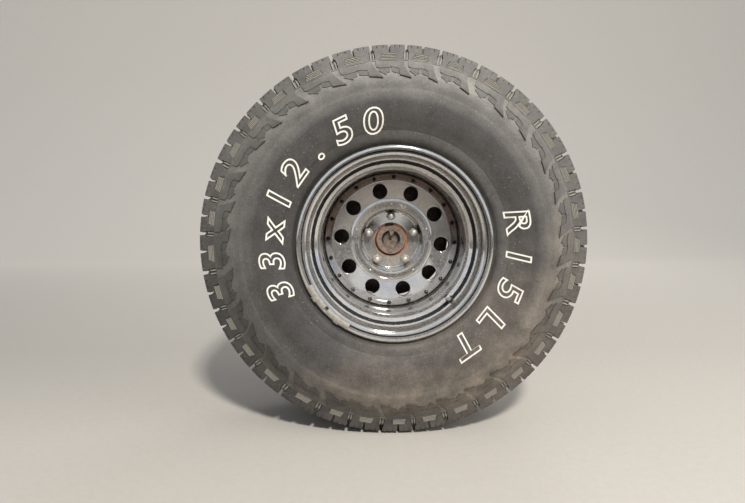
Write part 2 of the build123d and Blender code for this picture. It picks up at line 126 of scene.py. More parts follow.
class Finishes(bpy.types.PropertyGroup):
    rubber: colour("Rubber", "Sidewall rubber", "#423f3d")
    rubber_dust: colour("Dust on rubber", "Dust on the lugs and side relief", "#9b9790")
    numeral_white: colour("Numerals", "White rubber of the outlined numerals", "#f1ece2")
    chrome: colour("Chrome", "Chrome plate", "#cfccc8")
    rust: colour("Rust", "Surface rust on bare iron", "#a4765a")
    steel: colour("Steel", "Dull plain steel", "#9c968e")
    paint: colour("Paint", "Satin black paint on the axle", "#2b2a2a")
    floor: colour("Floor", "Pale floor and backdrop", "#cbc5bc")
    floor_front: colour("Floor in front", "Greyer floor behind the camera, for the chrome to mirror", "#8a837b")


def deselect():
    if bpy.context.mode != "OBJECT":
        bpy.ops.object.mode_set(mode="OBJECT")
    bpy.ops.object.select_all(action="DESELECT")


def use(*pieces):
    """Selects pieces and makes the first one active."""
    deselect()
    for piece in pieces:
        piece.select_set(True)
    bpy.context.view_layer.objects.active = pieces[0]


def edit(piece):
    use(piece)
    bpy.ops.object.mode_set(mode="EDIT")


def shift(piece, offset):
    """Moves a piece's mesh and leaves its origin on the axle line."""
    edit(piece)
    bpy.ops.mesh.select_all(action="SELECT")
    bpy.ops.transform.translate(value=offset)
    bpy.ops.object.mode_set(mode="OBJECT")


def select(kind, test):
    """Selects the vertices, edges or faces of the edited mesh that pass a test."""
    bpy.ops.mesh.select_mode(type=kind)
    bpy.ops.mesh.select_all(action="DESELECT")
    shape = bmesh.from_edit_mesh(bpy.context.object.data)
    for part in {"VERT": shape.verts, "EDGE": shape.edges, "FACE": shape.faces}[kind]:
        if test(part):
            part.select_set(True)
    bmesh.update_edit_mesh(bpy.context.object.data)


def mend():
    """Merges what meets in the edited mesh, turns its faces outwards and leaves edit mode."""
    bpy.ops.mesh.select_mode(type="VERT")
    bpy.ops.mesh.select_all(action="SELECT")
    bpy.ops.mesh.remove_doubles(threshold=0.005 * MM)
    bpy.ops.mesh.normals_make_consistent(inside=False)
    bpy.ops.object.mode_set(mode="OBJECT")


def draw(name, corners, closed=False):
    """A line from corner to corner, left in edit mode. A corner is a place in metres and a rounding's reach."""
    deselect()
    bpy.ops.mesh.primitive_plane_add(size=MM)
    piece = bpy.context.object
    piece.name = piece.data.name = name
    bpy.ops.object.mode_set(mode="EDIT")
    bpy.ops.mesh.select_mode(type="VERT")
    bpy.ops.mesh.select_all(action="SELECT")
    bpy.ops.mesh.merge(type="CENTER")
    bpy.ops.transform.translate(value=corners[0][0])
    for (here, _), (there, _) in zip(corners, corners[1:]):
        bpy.ops.mesh.extrude_region_move(TRANSFORM_OT_translate={"value": there - here})
    if closed:
        select("VERT", lambda vertex: (vertex.co - corners[0][0]).length < CLOSE
               or (vertex.co - corners[-1][0]).length < CLOSE)
        bpy.ops.mesh.edge_face_add()
    for place, reach in corners:
        if reach:
            select("VERT", lambda vertex: (vertex.co - place).length < CLOSE)
            segments = max(3, round(reach / 1.2))
            bpy.ops.mesh.bevel(offset=reach * MM, segments=segments, affect="VERTICES")
    bpy.ops.mesh.select_mode(type="VERT")
    bpy.ops.mesh.select_all(action="SELECT")
    return piece


def smooth(piece, degrees=35):
    use(piece)
    bpy.ops.object.shade_smooth_by_angle(angle=math.radians(degrees))


def apply(piece, kind, **settings):
    """Adds a modifier with its settings and applies it."""
    use(piece)
    modifier = piece.modifiers.new(kind.title(), kind)
    for name, value in settings.items():
        setattr(modifier, name, value)
    bpy.ops.object.modifier_apply(modifier=modifier.name)


def bevel(piece, width, segments, degrees):
    """Bevels the edges of a piece that are sharper than an angle."""
    apply(piece, "BEVEL", width=width * MM, segments=segments, limit_method="ANGLE",
          angle_limit=math.radians(degrees))


def boolean(piece, tool, operation="DIFFERENCE"):
    apply(piece, "BOOLEAN", object=tool, operation=operation, solver="EXACT")
    bpy.data.objects.remove(tool)


def turned(name, rows, closed=False, steps=192, degrees=35):
    """Turned about the axle line from rows of (y, radius) or (y, radius, rounding) in millimetres."""
    corners = [(Vector((0, row[0], row[1])) * MM, row[2] if len(row) > 2 else 0) for row in rows]
    piece = draw(name, corners, closed)
    bpy.ops.mesh.spin(steps=steps, angle=math.tau, center=(0, 0, 0), axis=ACROSS)
    mend()
    smooth(piece, degrees)
    return piece


def prism(name, places, run):
    """A closed outline of places in metres, filled and extruded along a run."""
    piece = draw(name, [(place, 0) for place in places], closed=True)
    bpy.ops.mesh.edge_face_add()
    bpy.ops.mesh.extrude_region_move(TRANSFORM_OT_translate={"value": run})
    mend()
    return piece


def join(pieces, name=None):
    use(*pieces)
    if len(pieces) > 1:
        bpy.ops.object.join()
    piece = bpy.context.object
    if name:
        piece.name = piece.data.name = name
    return piece


def duplicate(piece, move):
    """A copy of a piece, moved by a matrix."""
    copy = piece.copy()
    copy.data = piece.data.copy()
    bpy.context.collection.objects.link(copy)
    copy.data.transform(move)
    return copy


def copies(piece, moves, name=None):
    """Copies that take a piece's place, each moved by its own matrix, joined into one."""
    made = [duplicate(piece, move) for move in moves]
    bpy.data.objects.remove(piece)
    return join(made, name)


def to_angle(degrees):
    """Matrix that carries something above the axle line to an angle counted from +X towards +Z."""
    return Matrix.Rotation(math.radians(90 - degrees), 4, "Y")


def round_axle(count, start):
    """Matrices that carry something above the axle line to even angles."""
    return [to_angle(start + 360 / count * index) for index in range(count)]


def moved_line(rows, distance):
    """A line of (half width, radius) rows moved sideways to its left."""
    points = [Vector(row[:2]) for row in rows]
    runs = [(after - before).normalized() for before, after in zip(points, points[1:])]
    lefts = [Vector((-run.y, run.x)) for run in runs]
    moved = []
    for point, before, after in zip(points, [lefts[0]] + lefts, lefts + [lefts[-1]]):
        moved.append(point + (before + after) * distance / (1 + before.dot(after)))
    return moved


def finish_piece(piece, slot, material, *nodes):
    """Gives a piece of the wheel its material by name, attaches it to the wheel and hides the nodes that it
    stands for; the slot is not used.
    """
    piece.data.materials.clear()
    piece.data.materials.append(material_of(material))
    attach(piece, "wheel")
    if nodes:
        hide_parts(*nodes)


def rgba(value):
    """A colour's four numbers from a grey level, an sRGB hex value or a linear colour."""
    if isinstance(value, str):
        value = linear(value)
    elif isinstance(value, (int, float)):
        value = (value, value, value)
    return (*value[:3], 1)


def dimmed(shade, share):
    """A share of a linear colour."""
    return tuple(part * share for part in shade)


def add_node(tree, kind, *values, ramp=(), named=None, out=None, **settings):
    """Adds a node with its settings, its ramp, and its inputs in order or by name, each a value or a link."""
    node = tree.nodes.new("ShaderNode" + kind)
    for name, value in settings.items():
        setattr(node, name, value)
    if ramp:
        elements = node.color_ramp.elements
        while len(elements) < len(ramp):
            elements.new(1)
        for element, (level, value) in zip(elements, ramp):
            element.position = level
            element.color = rgba(value)
    inputs = [*zip([socket for socket in node.inputs if socket.enabled], values)]
    inputs += [(node.inputs[name], value) for name, value in (named or {}).items()]
    for socket, value in inputs:
        if isinstance(value, bpy.types.NodeSocket):
            tree.links.new(value, socket)
        else:
            socket.default_value = rgba(value) if socket.type == "RGBA" else value
    return node.outputs[out] if out else next((socket for socket in node.outputs if socket.enabled), None)


# Settings of the Mix node: one colour laid over another, and two colours multiplied
OVER = {"data_type": "RGBA"}
TIMES = {"data_type": "RGBA", "blend_type": "MULTIPLY"}


def patches(add, place, size, *ramp, detail=3, roughness=0.55):
    """Patches of a size in millimetres, in (level, colour) steps."""
    return add("ValToRGB", add("TexNoise", place, 1 / (size * MM), detail, roughness), ramp=ramp)


def zones(add, value, low, high, *rows):
    """(value, colour) steps of a value that runs from low to high."""
    ramp = [((at - low) / (high - low), shade) for at, shade in rows]
    return add("ValToRGB", add("MapRange", value, low, high), ramp=ramp)


def relief(add, place, size, height, strength, detail=3, roughness=0.55):
    """Bumps of a size and a height in millimetres."""
    noise = add("TexNoise", place, 1 / (size * MM), detail, roughness)
    return add("Bump", named={"Height": noise, "Distance": height * MM, "Strength": strength})


def radius_of(add, place):
    """Distance from the axle line in millimetres."""
    flat = add("VectorMath", place, (1, 0, 1), operation="MULTIPLY")
    return add("Math", add("VectorMath", flat, operation="LENGTH"), MM, operation="DIVIDE")


def depth_of(add, place):
    """Place along the axle in millimetres."""
    return add("Math", add("SeparateXYZ", place, out="Y"), MM, operation="DIVIDE")


def jitter(add, value, place, size, reach, detail):
    """A value made uneven by noise, so that what follows it has a ragged edge."""
    noise = add("TexNoise", place, 1 / (size * MM), detail, 0.7)
    return add("Math", value, add("Math", noise, reach, operation="MULTIPLY"), operation="ADD")


def seen_rays(add):
    """1 for the rays of the camera, of metal and of glass."""
    path = add("LightPath").node.outputs
    mirrored = add("Math", path["Is Glossy Ray"], path["Is Transmission Ray"], operation="MAXIMUM")
    return add("Math", path["Is Camera Ray"], mirrored, operation="MAXIMUM")


def weathered_tyre_rubber(add, place, finishes):
    """Moulded tyre rubber, weathered: matte, browned and dusty where the lugs and relief rub the ground, with
    painted light.
    """
    radius = radius_of(add, place)
    by_radius = zones(
        add, radius, 200, 420, (206, 0.10), (214, 0.18), (224, 0.20), (234, 0.18), (244, 0.08), (252, 0.02),
        (290, 0.01), (294, 0.06), (300, 0.16), (308, 0.22), (317, 0.33), (321, 0.28), (328, 0.36), (336, 0.50),
        (346, 0.60), (358, 0.56), (368, 0.54), (376, 0.58), (380, 0.40), (418, 0.38))
    # painted light and shade: the rubber is drawn lighter high on the wheel and darker low, and least dusty on
    # the lugs
    upward = add("VectorMath", place, (0.2, 0, 0.98), operation="DOT_PRODUCT")
    share = zones(add, upward, -0.35, 0.35, (-0.35, 0.40), (-0.196, 0.42), (-0.07, 0.60), (0.07, 0.84),
                  (0.28, 0.96), (0.35, 1.25))
    on_lugs = add("Math", add("MapRange", radius, 376, 380), 0.38, operation="MULTIPLY")
    share = add("Math", add("Math", share, on_lugs, operation="SUBTRACT"), 0, operation="MAXIMUM")
    by_radius = add("Mix", 1, by_radius, share, **TIMES)
    # the ring beside the rim is drawn darker towards -X
    ring = zones(add, radius, 236, 256, (236, 1), (256, 0))
    backward = add("VectorMath", place, (1, 0, -0.3), operation="DOT_PRODUCT")
    darker_left = add("Math", ring, add("MapRange", backward, 0.06, -0.20), operation="MULTIPLY")
    by_radius = add("Mix", darker_left, by_radius, 0, **OVER)
    dusted = add("Mix", by_radius, finishes.rubber, finishes.rubber_dust, **OVER)
    # brown dust low on the wheel, in cloudy patches
    downward = add("VectorMath", place, (0.5, 0, -0.866), operation="DOT_PRODUCT")
    thick = zones(add, radius, 200, 420, (299, 0.85), (321, 1.45), (356.2, 1.45), (365, 1.0), (376, 0.3))
    low_dust = add("Mix", 1, add("MapRange", downward, 0.10, 0.36), thick, **TIMES)
    cloudy = patches(add, place, 90, (0.35, 0.25), (0.65, 0.75), detail=4, roughness=0.6)
    dusted = add("Mix", add("Mix", 1, low_dust, cloudy, **TIMES), dusted, "#8f8375", **OVER)
    smear = patches(add, place, 45, (0.3, 0.72), (0.7, 1.25), detail=6, roughness=0.68)
    grain = patches(add, place, 4, (0.3, 0.76), (0.75, 1.26), detail=4, roughness=0.75)
    worn = add("Mix", 1, add("Mix", 1, dusted, smear, **TIMES), grain, **TIMES)
    # pale specks where grit has stuck, drawn at 3 mm so that they show
    specks = patches(add, place, 3, (0.64, 0), (0.70, 1), detail=2, roughness=0.6)
    gritty = patches(add, place, 70, (0.42, 0.08), (0.62, 0.55), roughness=0.5)
    worn = add("Mix", add("Mix", 1, specks, gritty, **TIMES), worn, "#a89f93", **OVER)
    # fine slanting hatching on the band under the side relief
    hatches, slant = 620, 0.0022        # how many round the wheel, and radians for each millimetre of radius
    angle = add("Math", add("SeparateXYZ", place, out="Z"), add("SeparateXYZ", place, out="X"),
                operation="ARCTAN2")
    slanted = add("Math", angle, add("Math", radius, slant, operation="MULTIPLY"), operation="ADD")
    wave = add("Math", add("Math", slanted, hatches, operation="MULTIPLY"), operation="SINE")
    band = zones(add, radius, 320, 350, (322.4, 0), (324.2, 1), (342.8, 1), (345.8, 0))
    hatch = add("Math", wave, band, operation="MULTIPLY")
    worn = add("Mix", add("Math", hatch, 0.22, operation="MULTIPLY"), worn, finishes.rubber, **OVER)
    # dust that the pieces carry themselves, and below 0 how much darker they are drawn: painted shade on the
    # side relief
    dust_and_shade = add("Attribute", attribute_name="dust", out="Fac")
    relief_shade = add("Math", dust_and_shade, -1, operation="MULTIPLY")
    worn = add("Mix", relief_shade, worn, add("Mix", 1, worn, 0.42, **TIMES), **OVER)
    fine = relief(add, place, 1.6, 0.35, 0.6, detail=4, roughness=0.7)
    return {
        "Base Color": add("Mix", dust_and_shade, worn, "#a39e91", **OVER),
        "Specular IOR Level": 0.35,
        "Roughness": add("ValToRGB", smear, ramp=((0, 0.72), (1, 0.62))),
        "Normal": add("Bump", named={"Height": hatch, "Distance": 0.4 * MM, "Strength": 0.6, "Normal": fine}),
    }


def white_rubber(add, place, finishes):
    """White rubber of the outlined numerals, slightly soiled."""
    white = finishes.numeral_white
    soiled = patches(add, place, 14, (0.25, dimmed(white, 0.78)), (0.55, white), detail=4, roughness=0.6)
    return {"Base Color": soiled, "Roughness": 0.6, "Normal": relief(add, place, 1.5, 0.1, 0.5)}


def chrome_plate(add, place, finishes):
    """Chrome plate on pressed steel: mirror-like, with dulled, pitted patches, specks of rust, and bands of
    painted shade.
    """
    radius = radius_of(add, place)
    depth = depth_of(add, place)
    chrome = finishes.chrome
    plated = patches(add, place, 45, (0.35, chrome), (0.75, dimmed(chrome, 0.80)), detail=4, roughness=0.6)
    pits = patches(add, place, 3.5, (0.60, 0), (0.70, 1), detail=4, roughness=0.7)
    pitted = patches(add, place, 70, (0.50, 0), (0.66, 0.7), roughness=0.5)
    spots = add("Mix", 1, pits, pitted, **TIMES)
    plated = add("Mix", spots, plated, "#7d7873", **OVER)
    flecks = patches(add, place, 2.4, (0.66, 0), (0.71, 1), roughness=0.6)
    crest = zones(add, radius, 60, 110, (70, 0), (77, 0.9), (90, 0.7), (100, 0))
    rusted = add("Mix", 1, flecks, crest, **TIMES)
    # painted dark reflection and shade: near-black bands in the lip's groove, on the slope behind the bead seat
    # and in the gap at the disc's edge, the groove's wider band on the upper side only
    jagged = jitter(add, radius, place, 4, 3, 3)
    dark_bands = zones(add, jagged, 140, 200, (158.0, 0), (158.3, 1), (161.2, 1), (161.5, 0), (174.3, 0), (175.0, 1),
                 (181.5, 1), (182.3, 0), (195.6, 0), (196.2, 1), (199.4, 1), (200.0, 0))
    groove = zones(add, jagged, 190, 200, (193.2, 0), (193.8, 0.85), (199.2, 0.85), (199.8, 0))
    upward = add("VectorMath", place, (0.4, 0, 0.92), operation="DOT_PRODUCT")
    groove = add("Math", groove, add("MapRange", upward, 0, 0.09), operation="MULTIPLY")
    dark_bands = add("Math", dark_bands, groove, operation="MAXIMUM")
    plated = add("Mix", dark_bands, plated, "#161413", **OVER)
    # brown film on the edge of the disc and a dark ring in the bend of its bell, drawn on the upper side only
    # as painted shade
    shaded_top = zones(add, add("SeparateXYZ", place, out="Z"), -0.08, 0.06, (-0.052, 0), (0.032, 0.9))
    edge = zones(add, radius, 140, 200, (140.6, 0), (141.8, 1), (158, 1), (159.2, 0))
    plated = add("Mix", add("Mix", 1, shaded_top, edge, **TIMES), plated, "#5f4e46", **OVER)
    bend = zones(add, jagged, 60, 90, (70.2, 0), (71.4, 1), (74.4, 1), (75.6, 0))
    plated = add("Mix", add("Mix", 1, shaded_top, bend, **TIMES), plated, "#2c2725", **OVER)
    # painted shade: the barrel behind the disc and the walls of the hand holes are drawn near black
    inboard = add("Math", depth, LIP_Y + 162, operation="GREATER_THAN")
    shade_behind = add("Math", inboard, add("Math", radius, 84, operation="GREATER_THAN"), operation="MULTIPLY")
    sunk = add("Math", depth, add("Math", radius, FLAT_SLOPE, operation="MULTIPLY"), operation="ADD")
    inner, outer = add("MapRange", radius, 94, 96), add("MapRange", radius, 141, 139)
    on_flat = add("Math", inner, outer, operation="MULTIPLY")
    shaded_hole_walls = add("Math", add("MapRange", sunk, LIP_Y + 165.3, LIP_Y + 166.1), on_flat, operation="MULTIPLY")
    shade_behind = add("Math", shade_behind, shaded_hole_walls, operation="MAXIMUM")
    dark_bands = add("Math", dark_bands, shade_behind, operation="MAXIMUM")
    plated = add("Mix", shade_behind, plated, "#141110", **OVER)
    # pale grit that has dried on the plate
    grit = patches(add, place, 2, (0.66, 0), (0.72, 1), detail=2, roughness=0.6)
    gritty = patches(add, place, 60, (0.42, 0), (0.60, 0.8), roughness=0.6)
    plated = add("Mix", add("Mix", 1, grit, gritty, **TIMES), plated, "#dcd7ce", **OVER)
    # a thin coat of dust over the plate, in fine mottles
    mottle = patches(add, place, 5, (0.35, 0.96), (0.70, 0.62), detail=5, roughness=0.75)
    rough = patches(add, place, 30, (0.35, 0.05), (0.75, 0.13), detail=4, roughness=0.6)
    grimy = add("Mix", dark_bands, add("Mix", spots, rough, 0.30, **OVER), 0.65, **OVER)
    return {
        "Base Color": add("Mix", rusted, plated, finishes.rust, **OVER),
        "Specular IOR Level": 0.3,
        "Metallic": add("Mix", 1, mottle, add("ValToRGB", dark_bands, ramp=((0, 1), (1, 0.1))), **TIMES),
        "Roughness": add("Mix", rusted, grimy, 0.8, **OVER),
    }


def dirty_chrome_nuts(add, place, finishes):
    """Chrome plate of the closed nuts, with pale road dirt caked round their feet."""
    height = add("Math", HUB_Y - 4.5, depth_of(add, place), operation="SUBTRACT")
    dirt = zones(add, jitter(add, height, place, 4, 9, 4), 15, 27, (15, 1), (22.2, 0.6), (27, 0.35))
    caked = patches(add, place, 3, (0.3, "#958877"), (0.7, "#cfc4b3"), roughness=0.6)
    return {
        "Base Color": add("Mix", dirt, finishes.chrome, caked, **OVER),
        "Metallic": add("ValToRGB", dirt, ramp=((0, 1), (1, 0))),
        "Roughness": add("ValToRGB", dirt, ramp=((0, 0.10), (0.4, 0.5), (1, 0.9))),
        "Normal": relief(add, place, 2.5, 0.3, 0.4, detail=4, roughness=0.7),
    }


def dark_rivet_plate(add, place, finishes):
    """Plated rivet heads, drawn near black as painted shade and dark reflection, lighter low on the wheel as
    painted light.
    """
    tone = patches(add, place, 3, (0.35, "#0f0e0d"), (0.75, "#2b2826"), roughness=0.6)
    # painted light: the rivets low on the wheel are drawn lighter
    low = add("MapRange", add("SeparateXYZ", place, out="Z"), 0, -0.09)
    return {"Base Color": add("Mix", low, tone, "#57524e", **OVER), "Metallic": 1, "Roughness": 0.22}


def rusty_iron(add, place, finishes):
    """Cast or forged iron left bare: grey-brown metal under patches of orange surface rust."""
    worn = add("TexNoise", place, 1 / (14 * MM), 5, 0.65)
    bright = add("ValToRGB", worn, ramp=(
        (0.30, dimmed(finishes.rust, 0.35)), (0.50, finishes.rust), (0.72, "#c29a79")))
    dark = add("ValToRGB", worn, ramp=((0.30, "#2c2522"), (0.55, "#463831"), (0.75, "#6d5748")))
    hub = zones(add, radius_of(add, place), 30, 60, (43.5, 1), (51, 0))
    rusted = add("Mix", hub, dark, bright, **OVER)
    # painted shadow: a near-black crescent on the lower left between the pilot and the drum's ring, and in the
    # notch
    shifted = add("VectorMath", place, Vector((1.3, 0, 2.2)) * MM, operation="ADD")
    crescent_shadow = add("MapRange", radius_of(add, shifted), 37.6, 36.8)
    return {"Base Color": add("Mix", crescent_shadow, rusted, "#150f0c", **OVER), "Roughness": 0.82,
            "Normal": relief(add, place, 2.5, 0.5, 0.8, detail=5, roughness=0.7)}


def forged_steel(add, place, finishes):
    """Forged steel shaft end: grey-brown scale with rust in the pilot's cup and round its edge."""
    scale = patches(
        add, place, 9, (0.30, "#46413c"), (0.52, "#777068"), (0.75, "#9e968c"), detail=5, roughness=0.65)
    edge = zones(add, radius_of(add, place), 20, 40, (20, 0.20), (23.2, 0.40), (25, 0.10), (27.6, 0.10),
                 (31.4, 0.15), (32.8, 0.8))
    patchy = patches(add, place, 8, (0.34, 0.3), (0.54, 1), detail=4, roughness=0.6)
    rusted = add("Mix", add("Mix", 1, edge, patchy, **TIMES), scale, finishes.rust, **OVER)
    # painted shade: the cup's floor and wall and the notch's foot are drawn near black on the upper side
    shade_rows = ((-5.72, 0), (-3.48, 0.6), (-0.6, 0.96), (6.44, 0.96), (6.92, 0.25), (7.24, 0.25), (7.72, 0.96))
    cup_shade = zones(add, depth_of(add, place), HUB_Y - 7, HUB_Y + 9, *[(HUB_Y + at, shade) for at, shade in shade_rows])
    shaded_top = add("MapRange", add("SeparateXYZ", place, out="Z"), -13 * MM, -3 * MM)
    cup_shade = add("Math", cup_shade, shaded_top, operation="MULTIPLY")
    return {"Base Color": add("Mix", cup_shade, rusted, "#110d0b", **OVER), "Metallic": 0.15, "Roughness": 0.7,
            "Normal": relief(add, place, 3, 0.5, 0.7, detail=5, roughness=0.7)}


def plain_steel(add, place, finishes):
    """Plain steel fittings, dulled by weather."""
    steel = finishes.steel
    worn = patches(
        add, place, 12, (0.3, dimmed(steel, 0.6)), (0.6, steel), (0.8, "#8f7a66"), detail=4, roughness=0.6)
    return {"Base Color": worn, "Metallic": 0.9, "Roughness": patches(add, place, 6, (0.3, 0.35), (0.7, 0.6))}


def satin_axle_paint(add, place, finishes):
    """Satin black axle paint: dusty, rubbed through to rust in places."""
    dusty = patches(add, place, 50, (0.35, finishes.paint), (0.75, "#5d554c"), detail=5, roughness=0.6)
    chips = patches(add, place, 9, (0.66, 0), (0.70, 1), detail=5, roughness=0.7)
    return {"Base Color": add("Mix", chips, dusty, "#6d4429", **OVER),
            "Roughness": add("ValToRGB", chips, ramp=((0, 0.45), (1, 0.85))),
            "Normal": relief(add, place, 2, 0.15, 0.5, detail=4)}


def cast_zinc(add, place, finishes):
    """Cast zinc of the balance weights: matte, pale grey."""
    tone = patches(add, place, 6, (0.3, "#8d8880"), (0.6, "#b3ada2"), (0.8, "#a2937f"), detail=4, roughness=0.6)
    return {"Base Color": tone, "Metallic": 0.3, "Roughness": 0.6, "Normal": relief(add, place, 1.5, 0.2, 0.5)}


def valve_rubber(add, place, finishes):
    """Moulded rubber of the valve, black and slightly shiny."""
    return {"Base Color": patches(add, place, 5, (0.3, "#121111"), (0.7, "#262422")), "Roughness": 0.5}


def pale_floor(add, place, finishes):
    """Floor and backdrop, matte with a faint grain, greyer far in front of the wheel."""
    inboard = add("SeparateXYZ", place, out="Y")
    shade = add("Mix", add("MapRange", inboard, -2.1, -2.9), finishes.floor, finishes.floor_front, **OVER)
    grain = patches(add, place, 12, (0.3, 0.95), (0.7, 1), detail=4, roughness=0.6)
    tone = add("Mix", 1, shade, grain, **TIMES)
    # the backdrop far behind the wheel is seen paler than it is lit, and lights nothing
    far = add("Math", add("MapRange", inboard, 0.2, 2.8), seen_rays(add), operation="MULTIPLY")
    return {"Base Color": tone, "Roughness": 0.9, "Emission Color": tone,
            "Emission Strength": add("Math", far, 0.45, operation="MULTIPLY")}


MATERIALS = {maker.__name__: maker for maker in (
    weathered_tyre_rubber, white_rubber, chrome_plate, dirty_chrome_nuts, dark_rivet_plate, rusty_iron,
    forged_steel, plain_steel, satin_axle_paint, cast_zinc, valve_rubber, pale_floor)}


@cache
def material_of(name):
    """The material of a name, made once by the function of that name."""
    material = bpy.data.materials.new(name)
    material.use_nodes = True
    material.node_tree.nodes.clear()
    add = partial(add_node, material.node_tree)
    sockets = MATERIALS[name](add, add("TexCoord", out="Object"), bpy.context.scene.wheel_finishes)
    add("OutputMaterial", add("BsdfPrincipled", named=sockets))
    return material


# Outboard half of the casing, from the bead to the tread's middle: half width, radius, reach of a rounding
SIDEWALL = (
    (126.7, 207.9), (130.5, 212.5, 2), (138, 216, 3), (141.6, 221.5, 2), (143.4, 228), (144.6, 235.6),
    (145.4, 236.4), (147.4, 242), (150.6, 248), (154.2, 260), (156.6, 274), (157.4, 288), (156.8, 302),
    (154.9, 314.6), (154, 318.2), (154.3, 319.6), (151.6, 331), (148.6, 340), (144.8, 347.5), (140.4, 356),
    (135.2, 365), (131, 372.6), (129.2, 376.2), (130.2, 377.2), (129.8, 378.8), (128, 380.2), (120.4, 380),
    (94, 399.4, 5),
)
# Outer surface that trims the lugs and blocks: half width, radius
TREAD_SECTION = (
    (0, 370), (0, 416), (46.5, 415.8), (93, 412.8), (118, 411.2), (121.4, 409.8), (123, 406.8),
    (129.6, 379.2), (100, 370),
)
# Block outlines in plan, unrolled: along the tread clockwise from the wide groove's middle, half width
SHOULDER_LUGS = (
    ((3, 136), (39, 136), (39, 114), (35, 110), (35, 96), (27, 89.5), (14, 89.5), (9, 95), (4.5, 103),
     (3, 114)),
    ((-39, 136), (-3, 136), (-3, 118), (-7.5, 106), (-11, 93), (-20, 88.5), (-31, 88.5), (-36, 95),
     (-40.8, 101), (-39, 112)),
)
MIDDLE_BLOCKS = (
    ((3.5, 82), (12, 80.5), (25, 80.5), (33.5, 84), (37.5, 78), (33, 66), (36.5, 56), (31.5, 41.5),
     (20, 36.5), (9, 41), (3, 48), (6.5, 60), (1.5, 70)),
    ((-38, 86), (-31, 79.5), (-18, 79.5), (-8.5, 84.5), (-3.5, 74), (-2.5, 64), (-7.5, 55), (-3, 43),
     (-12, 35.5), (-25, 40), (-36.5, 36), (-39, 47), (-35.5, 57), (-39.5, 70)),
)
CENTRE_BLOCKS = (
    ((-18.5, 26), (-8, 31), (5, 27), (16, 30.5), (18, 21), (13.5, 9), (17, -2), (12, -14), (15, -26),
     (5, -31), (-7, -27), (-19, -30.5), (-21, -19), (-16.5, -8), (-20.5, 3), (-15.5, 14)),
    ((22, 30), (33, 26), (45, 31), (57, 27), (59, 17), (54.5, 5), (58, -6), (53.5, -18), (56, -27), (45, -31),
     (33, -26.5), (21, -30), (18.5, -18), (23, -7), (19, 4), (24, 16)),
)
# Thin cuts as lines in plan: four across the lugs, four across the middle blocks, six across the centre ones
SIPES = (
    ((13, 138), (13, 118), (17, 110), (14, 98)), ((27, 138), (27, 116), (23, 108), (26, 97)),
    ((-16, 138), (-16, 118), (-20, 110), (-17, 98)), ((-28, 138), (-28, 117), (-24, 109), (-28, 97)),
    ((8, 73), (16, 69), (22, 73), (31, 70)), ((9, 54), (17, 50), (24, 54), (31, 50)),
    ((-33, 70), (-24, 66), (-17, 71), (-8, 67)), ((-33, 50), (-24, 46), (-16, 51), (-8, 48)),
    ((-15, 20), (-6, 15), (2, 20), (12, 16)), ((-14, 0), (-6, -5), (3, 0), (11, -4)),
    ((-16, -19), (-7, -23), (2, -18), (10, -22)), ((25, 22), (34, 17), (42, 22), (52, 18)),
    ((26, 2), (35, -3), (43, 2), (52, -2)), ((24, -17), (33, -21), (42, -16), (51, -20)),
)
# Raised side relief below the shoulder lugs: along the tread, radius
SIDE_PLATE = (
    (6.1, 377), (7.4, 363.3), (12.7, 361), (18, 360.2), (37.9, 360.2), (41.1, 361.9), (53.8, 360.5),
    (62.2, 358), (64.5, 343.8), (93.6, 338.6), (88.4, 344.6), (84, 351), (76.4, 363), (72.4, 377),
)
SIDE_CLAWS = (
    ((13, 362.5), (11.6, 353.4), (20.7, 348.6), (30, 343.4), (31.6, 348.4), (39, 349.6), (40.4, 362.5)),
    ((43.6, 362.5), (43.6, 351.4), (51, 348.8), (63.4, 347), (63.4, 362.5)),
)
# Ribs in the pockets: radius, half width that they reach, lean of their ends
POCKET_RIBS = ((380.4, 128.8, 0.3), (383.6, 128, 1.7), (386.8, 127.2, 3.1), (390, 126.4, 4.5))
# How far the relief stands above the sidewall: radius, lift
PLATE_LIFT = ((330, 4), (345, 3.4), (358, 2.4), (380, 1.6))
CLAW_LIFT = ((330, 1.7), (380, 1.1))
# Lengths of the tread's pitches in degrees, counted from +X towards +Z, so that its note is broken up
PITCH_DEGREES = {"S": 9.8, "M": 10.77, "L": 11.8, "X": 12.75}
PITCHES = "LLXLXMSMXXMSLMMXMSMXLSMSMMMMMXLM"
FIRST_GAP = 10.3                      # angle of the first narrow gap
PITCH = math.tau * TYRE_RADIUS / len(PITCHES)
# Radii: where lugs and blocks start, where they end untrimmed, the floors of their cuts, and the end of cutters
LUG_FOOT, BLOCK_FOOT, UNTRIMMED, LUG_CUT, BLOCK_CUT, CUTTER_END = 379.2, 396, 422, 404, 407, 430
CAP_HEIGHT = 0.70                     # height of a numeral in its font size
RIB_THICKNESS = 1.6                   # of the ribs in the pockets
RIB_DUST, TIE_DUST = 0.75, 0.2        # amounts of dust


def unrolled(along, half, radius):
    """Place in the unrolled tyre, from millimetres along the tread and off the middle plane, and the radius."""
    return Vector((TYRE_RADIUS - radius, MIDDLE_Y - half, along)) * MM


def plan_block(name, outline, low, high):
    """A block from its plan, between two radii."""
    places = [unrolled(along, half, low) for along, half in outline]
    return prism(name, places, Vector((low - high, 0, 0)) * MM)


def side_block(name, outline, low_half, high_half):
    """A block from its outline on the sidewall, between two half widths."""
    places = [unrolled(along, low_half, radius) for along, radius in outline]
    return prism(name, places, Vector((0, low_half - high_half, 0)) * MM)


def section_block(name, section, start, end):
    """A block from its section, along the tread."""
    places = [unrolled(start, half, radius) for half, radius in section]
    return prism(name, places, Vector((0, 0, end - start)) * MM)


def sipe_cutters(lines, sizes, floor):
    """Thin blocks along lines in plan, down to the radius of the cuts' floor."""
    reach = sizes.sipe_width / MM / 2
    outlines = [moved_line(line, reach) + moved_line(line, -reach)[::-1] for line in lines]
    return join([plan_block("sipe", outline, floor, CUTTER_END) for outline in outlines])


